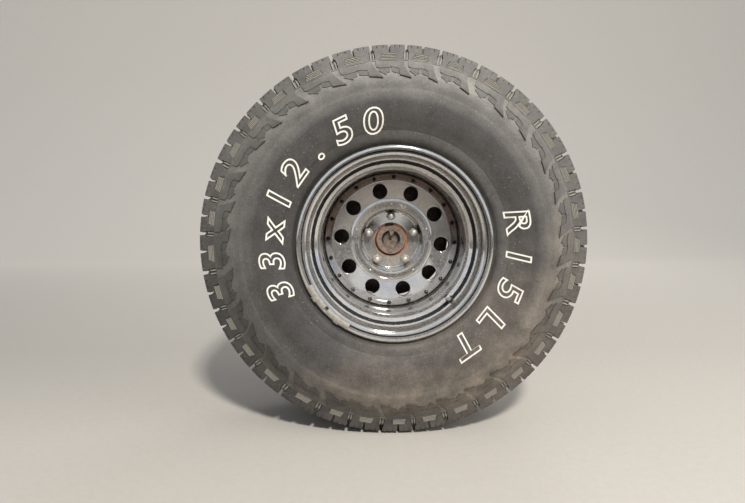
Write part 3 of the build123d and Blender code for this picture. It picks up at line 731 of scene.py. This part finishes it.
def between(rows, at):
    """Value at a place from rows of (place, value)."""
    for (low, first), (high, last) in zip(rows, rows[1:]):
        if at <= high:
            return first + (last - first) * max(0, at - low) / (high - low)
    return rows[-1][1]


def with_dust_and_shade(piece, *rows):
    """Marks the dust on an unrolled piece, and below 0 its painted shade, for its material, from rows of
    (radius, amount).
    """
    layer = piece.data.attributes.new("dust", "FLOAT", "POINT")
    amounts = [between(rows, TYRE_RADIUS - vertex.co.x / MM) for vertex in piece.data.vertices]
    layer.data.foreach_set("value", amounts)
    return piece


def side_relief(outlines, lifts):
    """Side relief that stands above the sidewall by lifts that change with the radius."""
    band = [row for row in SIDEWALL if 330 < row[1] < 377]
    lifted = []
    for row, moved in zip(band, moved_line(band, -1)):
        point = Vector(row[:2])
        lifted.append(tuple(point + (moved - point) * between(lifts, row[1])))
    pieces = []
    for outline in outlines:
        piece = side_block("relief", outline, 100, 170)
        boolean(piece, section_block("trim", [(60, 328), *lifted, (60, 380)], -PITCH, 2 * PITCH), "INTERSECT")
        pieces.append(piece)
    return join(pieces)


def shoulder_parts(sizes):
    """The lugs, pockets and side relief of one outboard shoulder pitch."""
    top = sizes.groove_top / MM / 2
    foot = sizes.groove_foot / MM / 2
    gap = PITCH / 2
    lugs = join([plan_block("lug", outline, LUG_FOOT, UNTRIMMED) for outline in SHOULDER_LUGS])
    boolean(lugs, section_block("trim", TREAD_SECTION, -PITCH, PITCH), "INTERSECT")
    # the pocket and the notch between two paired lugs, of which this pitch holds the halves at either end
    pocket = ((gap - 22.5, 379.8), (gap - 17.5, 392), (gap + 13.5, 392), (gap + 15.5, 379.8))
    notch = ((gap - top * 0.9, 414), (gap + top * 0.9, 414), (gap + 1.4, 395), (gap - 1.4, 395))
    pockets, notches = [
        join([side_block(name, [(along + end, radius) for along, radius in outline], inner_half, 150)
              for end in (0, -PITCH)])
        for name, outline, inner_half in (("pocket", pocket, 100), ("notch", notch, 103))]
    room = [(127.8, 376), (122.7, 396), (150, 396), (150, 376)]
    boolean(pockets, section_block("room", room, -2 * PITCH, 2 * PITCH), "INTERSECT")
    half_groove = [(top, 414), (top * 0.7, 402), (foot * 0.88, 396), (foot, 377)]
    other_half = [(-along, radius) for along, radius in half_groove[::-1]]
    groove = side_block("groove", half_groove + other_half, 113, 150)
    for cutter in (groove, pockets, notches, sipe_cutters(SIPES[:4], sizes, LUG_CUT)):
        boolean(lugs, cutter)
    bevel(lugs, 0.6, 1, 50)
    # rubber that ties the lugs to the casing under the notch and under the wide groove
    low_tie = [(126.7, 379.6), (122.6, 395.4), (100, 403), (95, 390)]
    groove_tie = [(124.4, 379), (121.2, 392), (112, 400), (95, 399), (95, 385)]
    tie = join([section_block("tie", low_tie, gap - 6, gap + 6),
                section_block("tie", groove_tie, -foot - 1, foot + 1)])
    ribs = []
    for radius, high, lean in POCKET_RIBS:
        outline = [(gap - 21.7 + lean, radius), (gap + 14.6, radius), (gap + 14.2, radius + RIB_THICKNESS),
                   (gap - 21.0 + lean, radius + RIB_THICKNESS)]
        ribs.append(side_block("rib", outline, 119, high))
    for at in (-foot * 0.5, foot * 0.5):
        section = [(110, 379), (128.0, 380), (124.8, 392), (113, 402.5), (104, 398)]
        ribs.append(section_block("rib", section, at - 1.2, at + 1.2))
    dusty = [with_dust_and_shade(rib, (0, RIB_DUST)) for rib in ribs]
    plate, claws = side_relief([SIDE_PLATE], PLATE_LIFT), side_relief(SIDE_CLAWS, CLAW_LIFT)
    # painted shade: the side relief is drawn darker than the sidewall, the claws darkest
    with_dust_and_shade(plate, (338, -0.85), (350, -0.7), (364, -0.5), (377, -0.35))
    with_dust_and_shade(claws, (340, -0.85), (362, -0.65))
    return [with_dust_and_shade(lugs, (0, 0)), *dusty, with_dust_and_shade(tie, (0, TIE_DUST)), plate, claws]


def block_row(outlines, sipes, sizes):
    """Tread blocks with their thin cuts."""
    blocks = join([plan_block("block", outline, BLOCK_FOOT, UNTRIMMED) for outline in outlines])
    both_sides = [*TREAD_SECTION[1:], *[(-half, radius) for half, radius in TREAD_SECTION[:1:-1]]]
    boolean(blocks, section_block("trim", both_sides, -PITCH, 2 * PITCH), "INTERSECT")
    bevel(blocks, 0.9, 1, 40)
    boolean(blocks, sipe_cutters(sipes, sizes, BLOCK_CUT))
    return with_dust_and_shade(blocks, (0, 0))


def turned_casing():
    """The tyre without its lugs, turned from its outer and inner lines."""
    rows = [(126.7, 190.1, 2), *SIDEWALL, (46.5, 402.0), (0, 402.6)]
    outer = [(MIDDLE_Y - row[0], *row[1:]) for row in rows]
    outer += [(MIDDLE_Y + row[0], *row[1:]) for row in rows[-2::-1]]
    inner = [(99, 190.1), (117, 207), (145, 262), (144, 312), (112, 366), (86, 386)]
    inside = [(MIDDLE_Y + half, radius) for half, radius in inner]
    inside += [(MIDDLE_Y - half, radius) for half, radius in inner[::-1]]
    casing = turned("treaded_tyre", outer + inside, closed=True, steps=224, degrees=28)
    return with_dust_and_shade(casing, (0, 0))


def pitch_moves():
    """Matrices that move and stretch an unrolled pitch to each of its places, outboard and inboard."""
    lengths = [PITCH_DEGREES[kind] for kind in PITCHES]
    lengths = [value * 360 / sum(lengths) for value in lengths]
    mean = 360 / len(lengths)
    outboard, inboard = [], []
    for index, value in enumerate(lengths):
        gap = FIRST_GAP + sum(lengths[:index])
        # the inboard pitches sit half a pitch on, over the outboard gaps
        for moves, middle, share in ((outboard, gap + value / 2, value / mean),
                                     (inboard, gap, (value + lengths[index - 1]) / 2 / mean)):
            along = math.radians((180 - middle) % 360) * TYRE_RADIUS * MM
            moves.append(Matrix.Translation((0, 0, along)) @ Matrix.Scale(share, 4, (0, 0, 1)))
    return outboard, inboard


def model_tyre(sizes):
    """One pitch's lugs and relief are modelled unrolled, copied, bent into a ring and joined to the casing."""
    casing = turned_casing()
    outboard = join(shoulder_parts(sizes) + [block_row(MIDDLE_BLOCKS, SIPES[4:8], sizes)], "pitch")
    half_turn = Matrix.Rotation(math.pi, 4, "X")
    about = Matrix.Translation((0, MIDDLE_Y * MM, 0))
    inboard = duplicate(outboard, about @ half_turn @ about.inverted())
    outboard = join([outboard, block_row(CENTRE_BLOCKS, SIPES[8:], sizes)])
    strip = join([copies(piece, moves) for piece, moves in zip((outboard, inboard), pitch_moves())])
    heights = [vertex.co.z for vertex in strip.data.vertices]
    reach = max(heights) - min(heights)
    apply(strip, "SIMPLE_DEFORM", deform_method="BEND", deform_axis="Y", angle=reach / (TYRE_RADIUS * MM))
    shift(strip, (-TYRE_RADIUS * MM, 0, 0))
    smooth(strip, 28)
    tyre = join([casing, strip], "treaded_tyre")
    finish_piece(tyre, "tyre_rubber", "weathered_tyre_rubber", "tyre")


def model_glyph(sizes, letter, angle):
    """A glyph, converted to a mesh, kept as an outline, and set in front of the sidewall at an angle."""
    deselect()
    bpy.ops.object.text_add()
    text = bpy.context.object.data
    text.body = letter
    text.size = sizes.numeral_height / CAP_HEIGHT
    text.offset = 2.3 * MM
    text.shear = 0.12
    text.align_x = "CENTER"
    text.resolution_u = 5
    bpy.ops.object.convert(target="MESH")
    glyph = bpy.context.object
    glyph.data.transform(Matrix.Diagonal((sizes.numeral_stretch, 1, 1, 1)))
    edit(glyph)
    bpy.ops.mesh.select_all(action="SELECT")
    bpy.ops.mesh.remove_doubles(threshold=0.05 * MM)
    bpy.ops.mesh.select_mode(type="FACE")
    bpy.ops.mesh.select_all(action="SELECT")
    bpy.ops.mesh.inset(thickness=sizes.outline_width, use_boundary=True, use_even_offset=True)
    bpy.ops.mesh.delete(type="FACE")
    # edges are halved until the outline can follow the sidewall
    for limit in (24, 12, 6):
        select("EDGE", lambda edge: edge.calc_length() > limit * MM)
        bpy.ops.mesh.subdivide(number_cuts=1)
    bpy.ops.object.mode_set(mode="OBJECT")
    up = Matrix.Translation((0, -sizes.numeral_height / 2, 0))
    facing = Matrix.Rotation(math.pi / 2, 4, "X")
    out = Matrix.Translation((0, (LIP_Y - 60) * MM, sizes.numeral_radius))
    glyph.data.transform(to_angle(angle) @ out @ facing @ up)
    return glyph


def model_numerals(sizes, tyre):
    """The glyphs are laid on the sidewall and given their thickness."""
    glyphs = []
    # text, angles of its first and last glyph
    for text, first, last in ((sizes.left_text, 202, 101), (sizes.right_text, 12, -54)):
        for index, letter in enumerate(text):
            glyphs.append(model_glyph(sizes, letter, first + (last - first) * index / (len(text) - 1)))
    numerals = join(glyphs, "size_numerals")
    apply(numerals, "SHRINKWRAP", target=tyre, wrap_method="PROJECT", use_project_y=True,
          use_positive_direction=True, use_negative_direction=False)
    edit(numerals)
    mend()
    apply(numerals, "SOLIDIFY", thickness=1.4 * MM, offset=0.2)
    smooth(numerals, 40)
    finish_piece(numerals, "tyre_rubber", "white_rubber")


def model_rim(sizes):
    """One pressed sheet: its middle line is turned, and solidify gives the sheet its thickness."""
    sheet = sizes.sheet / MM
    seat = sizes.seat_radius / MM - sheet / 2
    top = sizes.flange_radius / MM - sheet / 2
    well = sizes.well_radius / MM + sheet / 2
    # depth inboard of the lip plane, radius, reach of a rounding
    half = [(1.5, top - 5.5), (1.5, top, 4.2), (11.2, top, 4.8), (11.2, seat, 4), (44.5, seat, 7),
            (62, well, 9)]
    width = 2 * (MIDDLE_Y - LIP_Y)
    rows = [(LIP_Y + depth, *rest) for depth, *rest in half]
    rows += [(LIP_Y + width - depth, *rest) for depth, *rest in half[::-1]]
    rim = turned("rolled_rim", rows, steps=224)
    apply(rim, "SOLIDIFY", thickness=sizes.sheet, offset=0, use_even_offset=True)
    smooth(rim, 30)
    finish_piece(rim, "chrome_plate", "chrome_plate", "rim_barrel")


def ring_of(name, rows, circle, steps, count, start):
    """Copies round the axle line of a piece that is turned about a line parallel to it, joined into one."""
    piece = turned("part", rows, steps=steps)
    shift(piece, (0, 0, circle))
    return copies(piece, round_axle(count, start), name)


def model_disc(sizes):
    """The disc's middle line is turned and solidified. Flared cutters give the holes rounded edges."""
    sheet = sizes.sheet / MM
    flat = FLAT_Y + sheet / 2
    cone = sizes.flat_cone / MM / 2
    rows = [
        (HUB_Y - sheet / 2 - 0.5, 41.5), (HUB_Y - sheet / 2, 70.6, 4.5), (flat - 10.6, 74.6, 5),
        (flat - 5.0, 82.0, 6), (flat + cone, 93.0, 7), (flat - cone, 143.5, 4), (flat + 7 - cone, 158.45, 4),
        (LIP_Y + 192, 158.45),
    ]
    disc = turned("pressed_disc", rows, steps=240)
    apply(disc, "SOLIDIFY", thickness=sizes.sheet, offset=0, use_even_offset=True)
    hole = sizes.hole_radius / MM
    flare = sizes.hole_rounding / MM
    front = flat - sheet / 2
    hole_rows = [(front - 9, 0), (front - 9, hole + flare * 2.2), (front - 0.3, hole + flare * 1.35),
                 (front + flare * 0.35, hole + flare * 0.35), (front + flare * 1.2, hole), (front + 14, hole),
                 (front + 14, 0)]
    holes = ring_of("hole", hole_rows, sizes.hole_circle, 48, sizes.hole_count, HOLE_START)
    stud = 6.35 + 1.6               # a stud's radius and the room round it
    nut_front = HUB_Y - sheet
    stud_rows = [(nut_front - 4, 0), (nut_front - 4, 10.6), (nut_front, 9.9), (nut_front + 3.2, stud),
                 (HUB_Y + 4, stud), (HUB_Y + 4, 0)]
    stud_holes = ring_of("stud_hole", stud_rows, sizes.stud_circle, 32, sizes.stud_count, STUD_START)
    boolean(disc, join([holes, stud_holes]))
    smooth(disc, 30)
    apply(disc, "WEIGHTED_NORMAL", keep_sharp=True, weight=80)
    finish_piece(disc, "chrome_plate", "chrome_plate", "wheel_disc")


def model_rivets(sizes):
    """Round-headed rivets on the disc's edge."""
    reach = sizes.rivet_radius / MM
    seat = FLAT_Y - 0.8
    dome = [(seat + 2.5, 0), (seat + 2.5, reach), (seat, reach), (seat - reach * 0.5, reach * 0.86),
            (seat - reach * 0.8, reach * 0.5), (seat - reach * 0.92, 0)]
    rivets = ring_of("disc_rivets", dome, sizes.rivet_circle, 20, sizes.rivet_count, RIVET_START)
    smooth(rivets, 50)
    finish_piece(rivets, "chrome_plate", "dark_rivet_plate")


def model_bumps(sizes):
    """Small bumps on the outer slope of the disc's crest."""
    seat = FLAT_Y - 2.2
    circle = 87.5 * MM
    dome = [(seat + 4.5, 0), (seat + 4.5, 4.4), (seat, 4.4), (seat - 1.3, 3.4), (seat - 2.2, 1.8),
            (seat - 2.5, 0)]
    bumps = ring_of("disc_bumps", dome, circle, 20, sizes.stud_count, STUD_START)
    smooth(bumps, 50)
    finish_piece(bumps, "chrome_plate", "chrome_plate")


def model_nuts(sizes):
    """Closed nuts: a hexagon bar trimmed by a turned bullet, with a coned foot."""
    top = SEAT_Y - sizes.nut_height / MM
    bar = 40                        # length before it is trimmed
    deselect()
    bpy.ops.mesh.primitive_cylinder_add(
        vertices=6, radius=sizes.nut_across / 2 / math.cos(math.pi / 6), depth=bar * MM,
        location=(0, (SEAT_Y - bar / 2) * MM, 0), rotation=(math.pi / 2, math.pi / 6, 0))
    nut = bpy.context.object
    bpy.ops.object.transform_apply(location=True, rotation=True, scale=True)
    bullet = [(SEAT_Y + 6, 0), (SEAT_Y + 6, 9.0), (SEAT_Y, 9.7), (SEAT_Y - 0.01, 11.6), (SEAT_Y - 12.2, 11.6),
              (SEAT_Y - 14.4, 9.3), (SEAT_Y - 16.5, 8.9), (top + 5.0, 7.9), (top + 2.4, 6.1), (top + 0.8, 3.7),
              (top, 0)]
    boolean(nut, turned("bullet", bullet, steps=48), "INTERSECT")
    bevel(nut, 0.5, 2, 35)
    foot = [(SEAT_Y + 3.4, 0), (SEAT_Y + 3.4, 6.6), (SEAT_Y - 0.3, 9.5), (SEAT_Y - 0.3, 0)]
    nut = join([nut, turned("foot", foot, steps=32)])
    nut.data.transform(Matrix.Translation((0, 0, sizes.stud_circle)))
    nuts = copies(nut, round_axle(sizes.stud_count, STUD_START), "closed_nuts")
    smooth(nuts, 40)
    finish_piece(nuts, "chrome_plate", "dirty_chrome_nuts", "lug_nuts")


def model_valve():
    """Snap-in valve: a rubber foot in the slope and a plated sleeve with a rounded cap, square to the slope."""
    # a place on the slope below the bead seat, the slope's lean, and an angle low towards +X
    seat = Vector((0, MIDDLE_Y - 86.7, 175.4)) * MM
    lean = Vector((0, -1, 0)).rotation_difference(Vector((0, -0.820, -0.572))).to_matrix().to_4x4()
    place = to_angle(-45) @ Matrix.Translation(seat) @ lean
    foot_rows = [(-1.6, 5.4), (-1.6, 8.5), (-3.2, 8.5), (-5.4, 7.2), (-6.6, 6.3), (-8.0, 6.3), (-8.0, 0)]
    back_rows = [(1.6, 5.4), (1.6, 8.5), (5.0, 8.2), (6.4, 6.0), (6.4, 0)]
    sleeve_rows = [(-6.8, 5), (-6.8, 6), (-19, 6), (-19.4, 5.5), (-20, 5.5), (-20.4, 5.9), (-25.4, 5.7),
                   (-27.2, 4.7), (-28, 2.6), (-28.1, 0)]
    neck_rows = [(-1.7, 5.4), (1.7, 5.4)]
    foot = join([turned("foot", rows, steps=40) for rows in (foot_rows, neck_rows, back_rows)], "valve_foot")
    sleeve = turned("valve_sleeve", sleeve_rows, steps=40)
    foot.data.transform(place)
    sleeve.data.transform(place)
    finish_piece(foot, "valve_rubber", "valve_rubber", "valve_stem")
    finish_piece(sleeve, "chrome_plate", "chrome_plate")


def swept(name, rows, start, arc, steps):
    """Part of a ring with closed ends: a filled section carried round the axle from an angle through an arc."""
    piece = draw(name, [(Vector((0, *row)) * MM, 0) for row in rows], closed=True)
    bpy.ops.mesh.edge_face_add()
    bpy.ops.mesh.select_all(action="SELECT")
    bpy.ops.mesh.spin(steps=steps, angle=math.radians(arc), center=(0, 0, 0), axis=ACROSS)
    mend()
    piece.data.transform(to_angle(start))
    return piece


def model_weights():
    """Two clip-on balance weights, each a curved bar inside the lip with a spring clip over its edge."""
    bar_rows = [(LIP_Y + 8.5, 200.2), (LIP_Y + 8.5, 192.6), (LIP_Y + 1.0, 191.4), (LIP_Y - 2.0, 193.0),
                (LIP_Y - 2.6, 198.0), (LIP_Y - 1.4, 203.2), (LIP_Y + 0.8, 203.6), (LIP_Y + 3.0, 202.0)]
    clip_rows = [(LIP_Y - 2.0, 197.5), (LIP_Y - 3.0, 198.0), (LIP_Y - 2.3, 204.2), (LIP_Y - 0.1, 207.6),
                 (LIP_Y + 3.4, 208.8), (LIP_Y + 5.6, 208.6), (LIP_Y + 5.4, 207.9), (LIP_Y + 2.8, 207.9),
                 (LIP_Y + 0.4, 206.6), (LIP_Y - 1.4, 203.2)]
    parts = []
    # angles in degrees: each bar starts at its own and its clip sits at its middle
    for start in (205.25, 224.0):
        bar = swept("bar", bar_rows, start, 16.5, 18)
        bevel(bar, 1.2, 2, 50)
        parts += [bar, swept("clip", clip_rows, start + 6.6, 3.4, 4)]
    weights = join(parts, "clip_weights")
    smooth(weights, 40)
    finish_piece(weights, "weight_metal", "cast_zinc", "wheel_weights")


AXLE_FINISHES = {
    "axle_shaft": "forged_steel", "brake_drum": "rusty_iron", "axle_tube": "satin_axle_paint",
    "spring_seat": "satin_axle_paint", "backing_plate": "satin_axle_paint", "bearing_retainer": "plain_steel",
    "wheel_bearing": "plain_steel", "flange_bolts": "plain_steel",
}


def finish_axle():
    """The nodes of the part that keep their own mesh get their real finish."""
    for name, material in AXLE_FINISHES.items():
        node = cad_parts[name]
        node.data.materials.clear()
        node.data.materials.append(material_of(material))


def model_floor():
    """A pale floor that curves up behind the wheel."""
    front, back, top, bend, half_width = -9000, 5200, 6000, 2200, 22000
    places = [(front, -TYRE_RADIUS), (back, -TYRE_RADIUS), (back, top - TYRE_RADIUS)]
    floor = draw("floor", [(Vector((0, y, z)) * MM, reach) for (y, z), reach in zip(places, (0, bend, 0))])
    bpy.ops.transform.translate(value=(-half_width * MM, 0, 0))
    bpy.ops.mesh.extrude_region_move(TRANSFORM_OT_translate={"value": (2 * half_width * MM, 0, 0)})
    bpy.ops.mesh.normals_make_consistent(inside=False)
    bpy.ops.object.mode_set(mode="OBJECT")
    smooth(floor, 60)
    floor.data.materials.append(material_of("pale_floor"))


def make_sky():
    """A plain outdoor sky, for the chrome to mirror."""
    world = bpy.data.worlds.new("sky")
    bpy.context.scene.world = world
    world.use_nodes = True
    world.node_tree.nodes.clear()
    add = partial(add_node, world.node_tree)
    direction = add("TexCoord", out="Generated")
    puffs = add("TexNoise", direction, 5, 4)
    # a dark ragged line of trees at the horizon, haze above it, then blue with thin white cloud
    height = add("SeparateXYZ", direction, out="Z")
    ragged = add("Math", height, add("Math", puffs, 0.04, operation="MULTIPLY"), operation="SUBTRACT")
    clear = zones(
        add, ragged, -0.2, 1, (-0.092, "#7d766d"), (-0.08, "#2f2d2a"), (-0.038, "#33312d"),
        (-0.0236, "#f2f2f0"), (0.064, "#cfe0f6"), (0.16, "#b3cdf1"), (0.34, "#c6d8ef"), (0.52, "#dde6f1"),
        (1, "#dfe5ec"))
    cloud = add("ValToRGB", puffs, ramp=((0.46, 0), (0.60, 0.9)))
    sky = add("Mix", cloud, clear, "#f4f5f5", **OVER)
    sky = add("Mix", add("Math", ragged, -0.03, operation="LESS_THAN"), sky, clear, **OVER)
    # metal mirrors the sky at full strength, and less of it lights the wheel
    strength = add("Math", 0.35, add("Math", seen_rays(add), 0.65, operation="MULTIPLY"), operation="ADD")
    add("OutputWorld", add("Background", sky, strength))


# Name, place, point looked at, size in metres, power in watts, colour
LAMPS = (
    ("key", (0.58, -3.26, 2.68), (0, -0.35, 0), 0.4, 165, "#fffcf7"),
    ("fill", (3.2, -1.6, 1.2), (0, -0.3, 0), 2.0, 40, "#fbfaf7"),
    ("back", (1.5, 2.6, 2.6), (0, 0, 0), 2.0, 30, "#ffffff"),
)


def place_lamps():
    """Soft lamps. The chrome mirrors the key lamp only."""
    for name, place, target, size, power, code in LAMPS:
        data = bpy.data.lights.new(name, "AREA")
        data.size, data.energy, data.color = size, power, linear(code)
        lamp = bpy.data.objects.new(name, data)
        lamp.location = place
        lamp.visible_glossy = name == "key"
        lamp.rotation_euler = (Vector(target) - Vector(place)).to_track_quat("-Z", "Y").to_euler()
        bpy.context.collection.objects.link(lamp)


def place_camera():
    """The camera, fitted to the rings of the rim and the tyre in the photograph."""
    data = bpy.data.cameras.new("camera")
    data.sensor_width = 36
    data.lens = 24.55
    camera = bpy.data.objects.new("camera", data)
    camera.location = (-0.0633, -1.5427, 0.0840)
    camera.rotation_euler = (math.pi / 2 - 0.0916, 0, -0.0151)
    bpy.context.collection.objects.link(camera)
    bpy.context.scene.camera = camera
    bpy.context.scene.view_settings.view_transform = "Standard"


class WHEEL_OT_tyre(bpy.types.Operator):
    """Models the tyre with its lugs and side relief"""
    bl_idname = "wheel.tyre"
    bl_label = "Tyre"

    def execute(self, context):
        model_tyre(context.scene.tyre_sizes)
        return {"FINISHED"}


class WHEEL_OT_numerals(bpy.types.Operator):
    """Lays the size numerals on the tyre's sidewall"""
    bl_idname = "wheel.numerals"
    bl_label = "Size numerals"

    def execute(self, context):
        tyre = bpy.data.objects.get("treaded_tyre")
        if not tyre:
            raise RuntimeError("The numerals lie on the tyre, so it is modelled first")
        model_numerals(context.scene.tyre_sizes, tyre)
        return {"FINISHED"}


class WHEEL_OT_rim(bpy.types.Operator):
    """Models the rolled rim"""
    bl_idname = "wheel.rim"
    bl_label = "Rim"

    def execute(self, context):
        model_rim(context.scene.rim_sizes)
        return {"FINISHED"}


class WHEEL_OT_disc(bpy.types.Operator):
    """Models the pressed disc with its holes"""
    bl_idname = "wheel.disc"
    bl_label = "Disc"

    def execute(self, context):
        model_disc(context.scene.disc_sizes)
        return {"FINISHED"}


class WHEEL_OT_rivets(bpy.types.Operator):
    """Models the rivets at the disc's edge and the bumps on its crest"""
    bl_idname = "wheel.rivets"
    bl_label = "Rivets and bumps"

    def execute(self, context):
        model_rivets(context.scene.rim_sizes)
        model_bumps(context.scene.disc_sizes)
        return {"FINISHED"}


class WHEEL_OT_nuts(bpy.types.Operator):
    """Models the closed nuts"""
    bl_idname = "wheel.nuts"
    bl_label = "Nuts"

    def execute(self, context):
        model_nuts(context.scene.disc_sizes)
        return {"FINISHED"}


class WHEEL_OT_valve(bpy.types.Operator):
    """Models the valve's rubber foot and its plated sleeve"""
    bl_idname = "wheel.valve"
    bl_label = "Valve"

    def execute(self, context):
        model_valve()
        return {"FINISHED"}


class WHEEL_OT_weights(bpy.types.Operator):
    """Models the balance weights on the rim's lip"""
    bl_idname = "wheel.weights"
    bl_label = "Balance weights"

    def execute(self, context):
        model_weights()
        return {"FINISHED"}


class WHEEL_OT_axle(bpy.types.Operator):
    """Gives the axle end, the shaft and the drum their finishes"""
    bl_idname = "wheel.axle"
    bl_label = "Axle end"

    def execute(self, context):
        finish_axle()
        return {"FINISHED"}


class WHEEL_OT_stage(bpy.types.Operator):
    """Sets the floor, the sky, the lamps and the camera"""
    bl_idname = "wheel.stage"
    bl_label = "Stage"

    def execute(self, context):
        model_floor()
        make_sky()
        place_lamps()
        place_camera()
        return {"FINISHED"}


OPERATORS = (
    WHEEL_OT_tyre, WHEEL_OT_numerals, WHEEL_OT_rim, WHEEL_OT_disc, WHEEL_OT_rivets, WHEEL_OT_nuts,
    WHEEL_OT_valve, WHEEL_OT_weights, WHEEL_OT_axle, WHEEL_OT_stage)
GROUPS = {"tyre_sizes": TyreSizes, "rim_sizes": RimSizes, "disc_sizes": DiscSizes, "wheel_finishes": Finishes}


class WHEEL_PT_panel(bpy.types.Panel):
    """Sizes, colours and steps of the wheel"""
    bl_label = "Wheel"
    bl_space_type = "VIEW_3D"
    bl_region_type = "UI"
    bl_category = "Wheel"

    def draw(self, context):
        for group, kind in GROUPS.items():
            column = self.layout.column()
            for name in kind.__annotations__:
                column.prop(getattr(context.scene, group), name)
        for operator in OPERATORS:
            self.layout.operator(operator.bl_idname)


def register():
    for kind in (*GROUPS.values(), *OPERATORS, WHEEL_PT_panel):
        bpy.utils.register_class(kind)
    for name, kind in GROUPS.items():
        setattr(bpy.types.Scene, name, PointerProperty(type=kind))


def unregister():
    for name in GROUPS:
        delattr(bpy.types.Scene, name)
    for kind in reversed((*GROUPS.values(), *OPERATORS, WHEEL_PT_panel)):
        bpy.utils.unregister_class(kind)
    material_of.cache_clear()


def main():
    register()
    bpy.ops.wheel.tyre()
    bpy.ops.wheel.numerals()
    bpy.ops.wheel.rim()
    bpy.ops.wheel.disc()
    bpy.ops.wheel.rivets()
    bpy.ops.wheel.nuts()
    bpy.ops.wheel.valve()
    bpy.ops.wheel.weights()
    bpy.ops.wheel.axle()
    bpy.ops.wheel.stage()


if __name__ == "__main__":
    main()
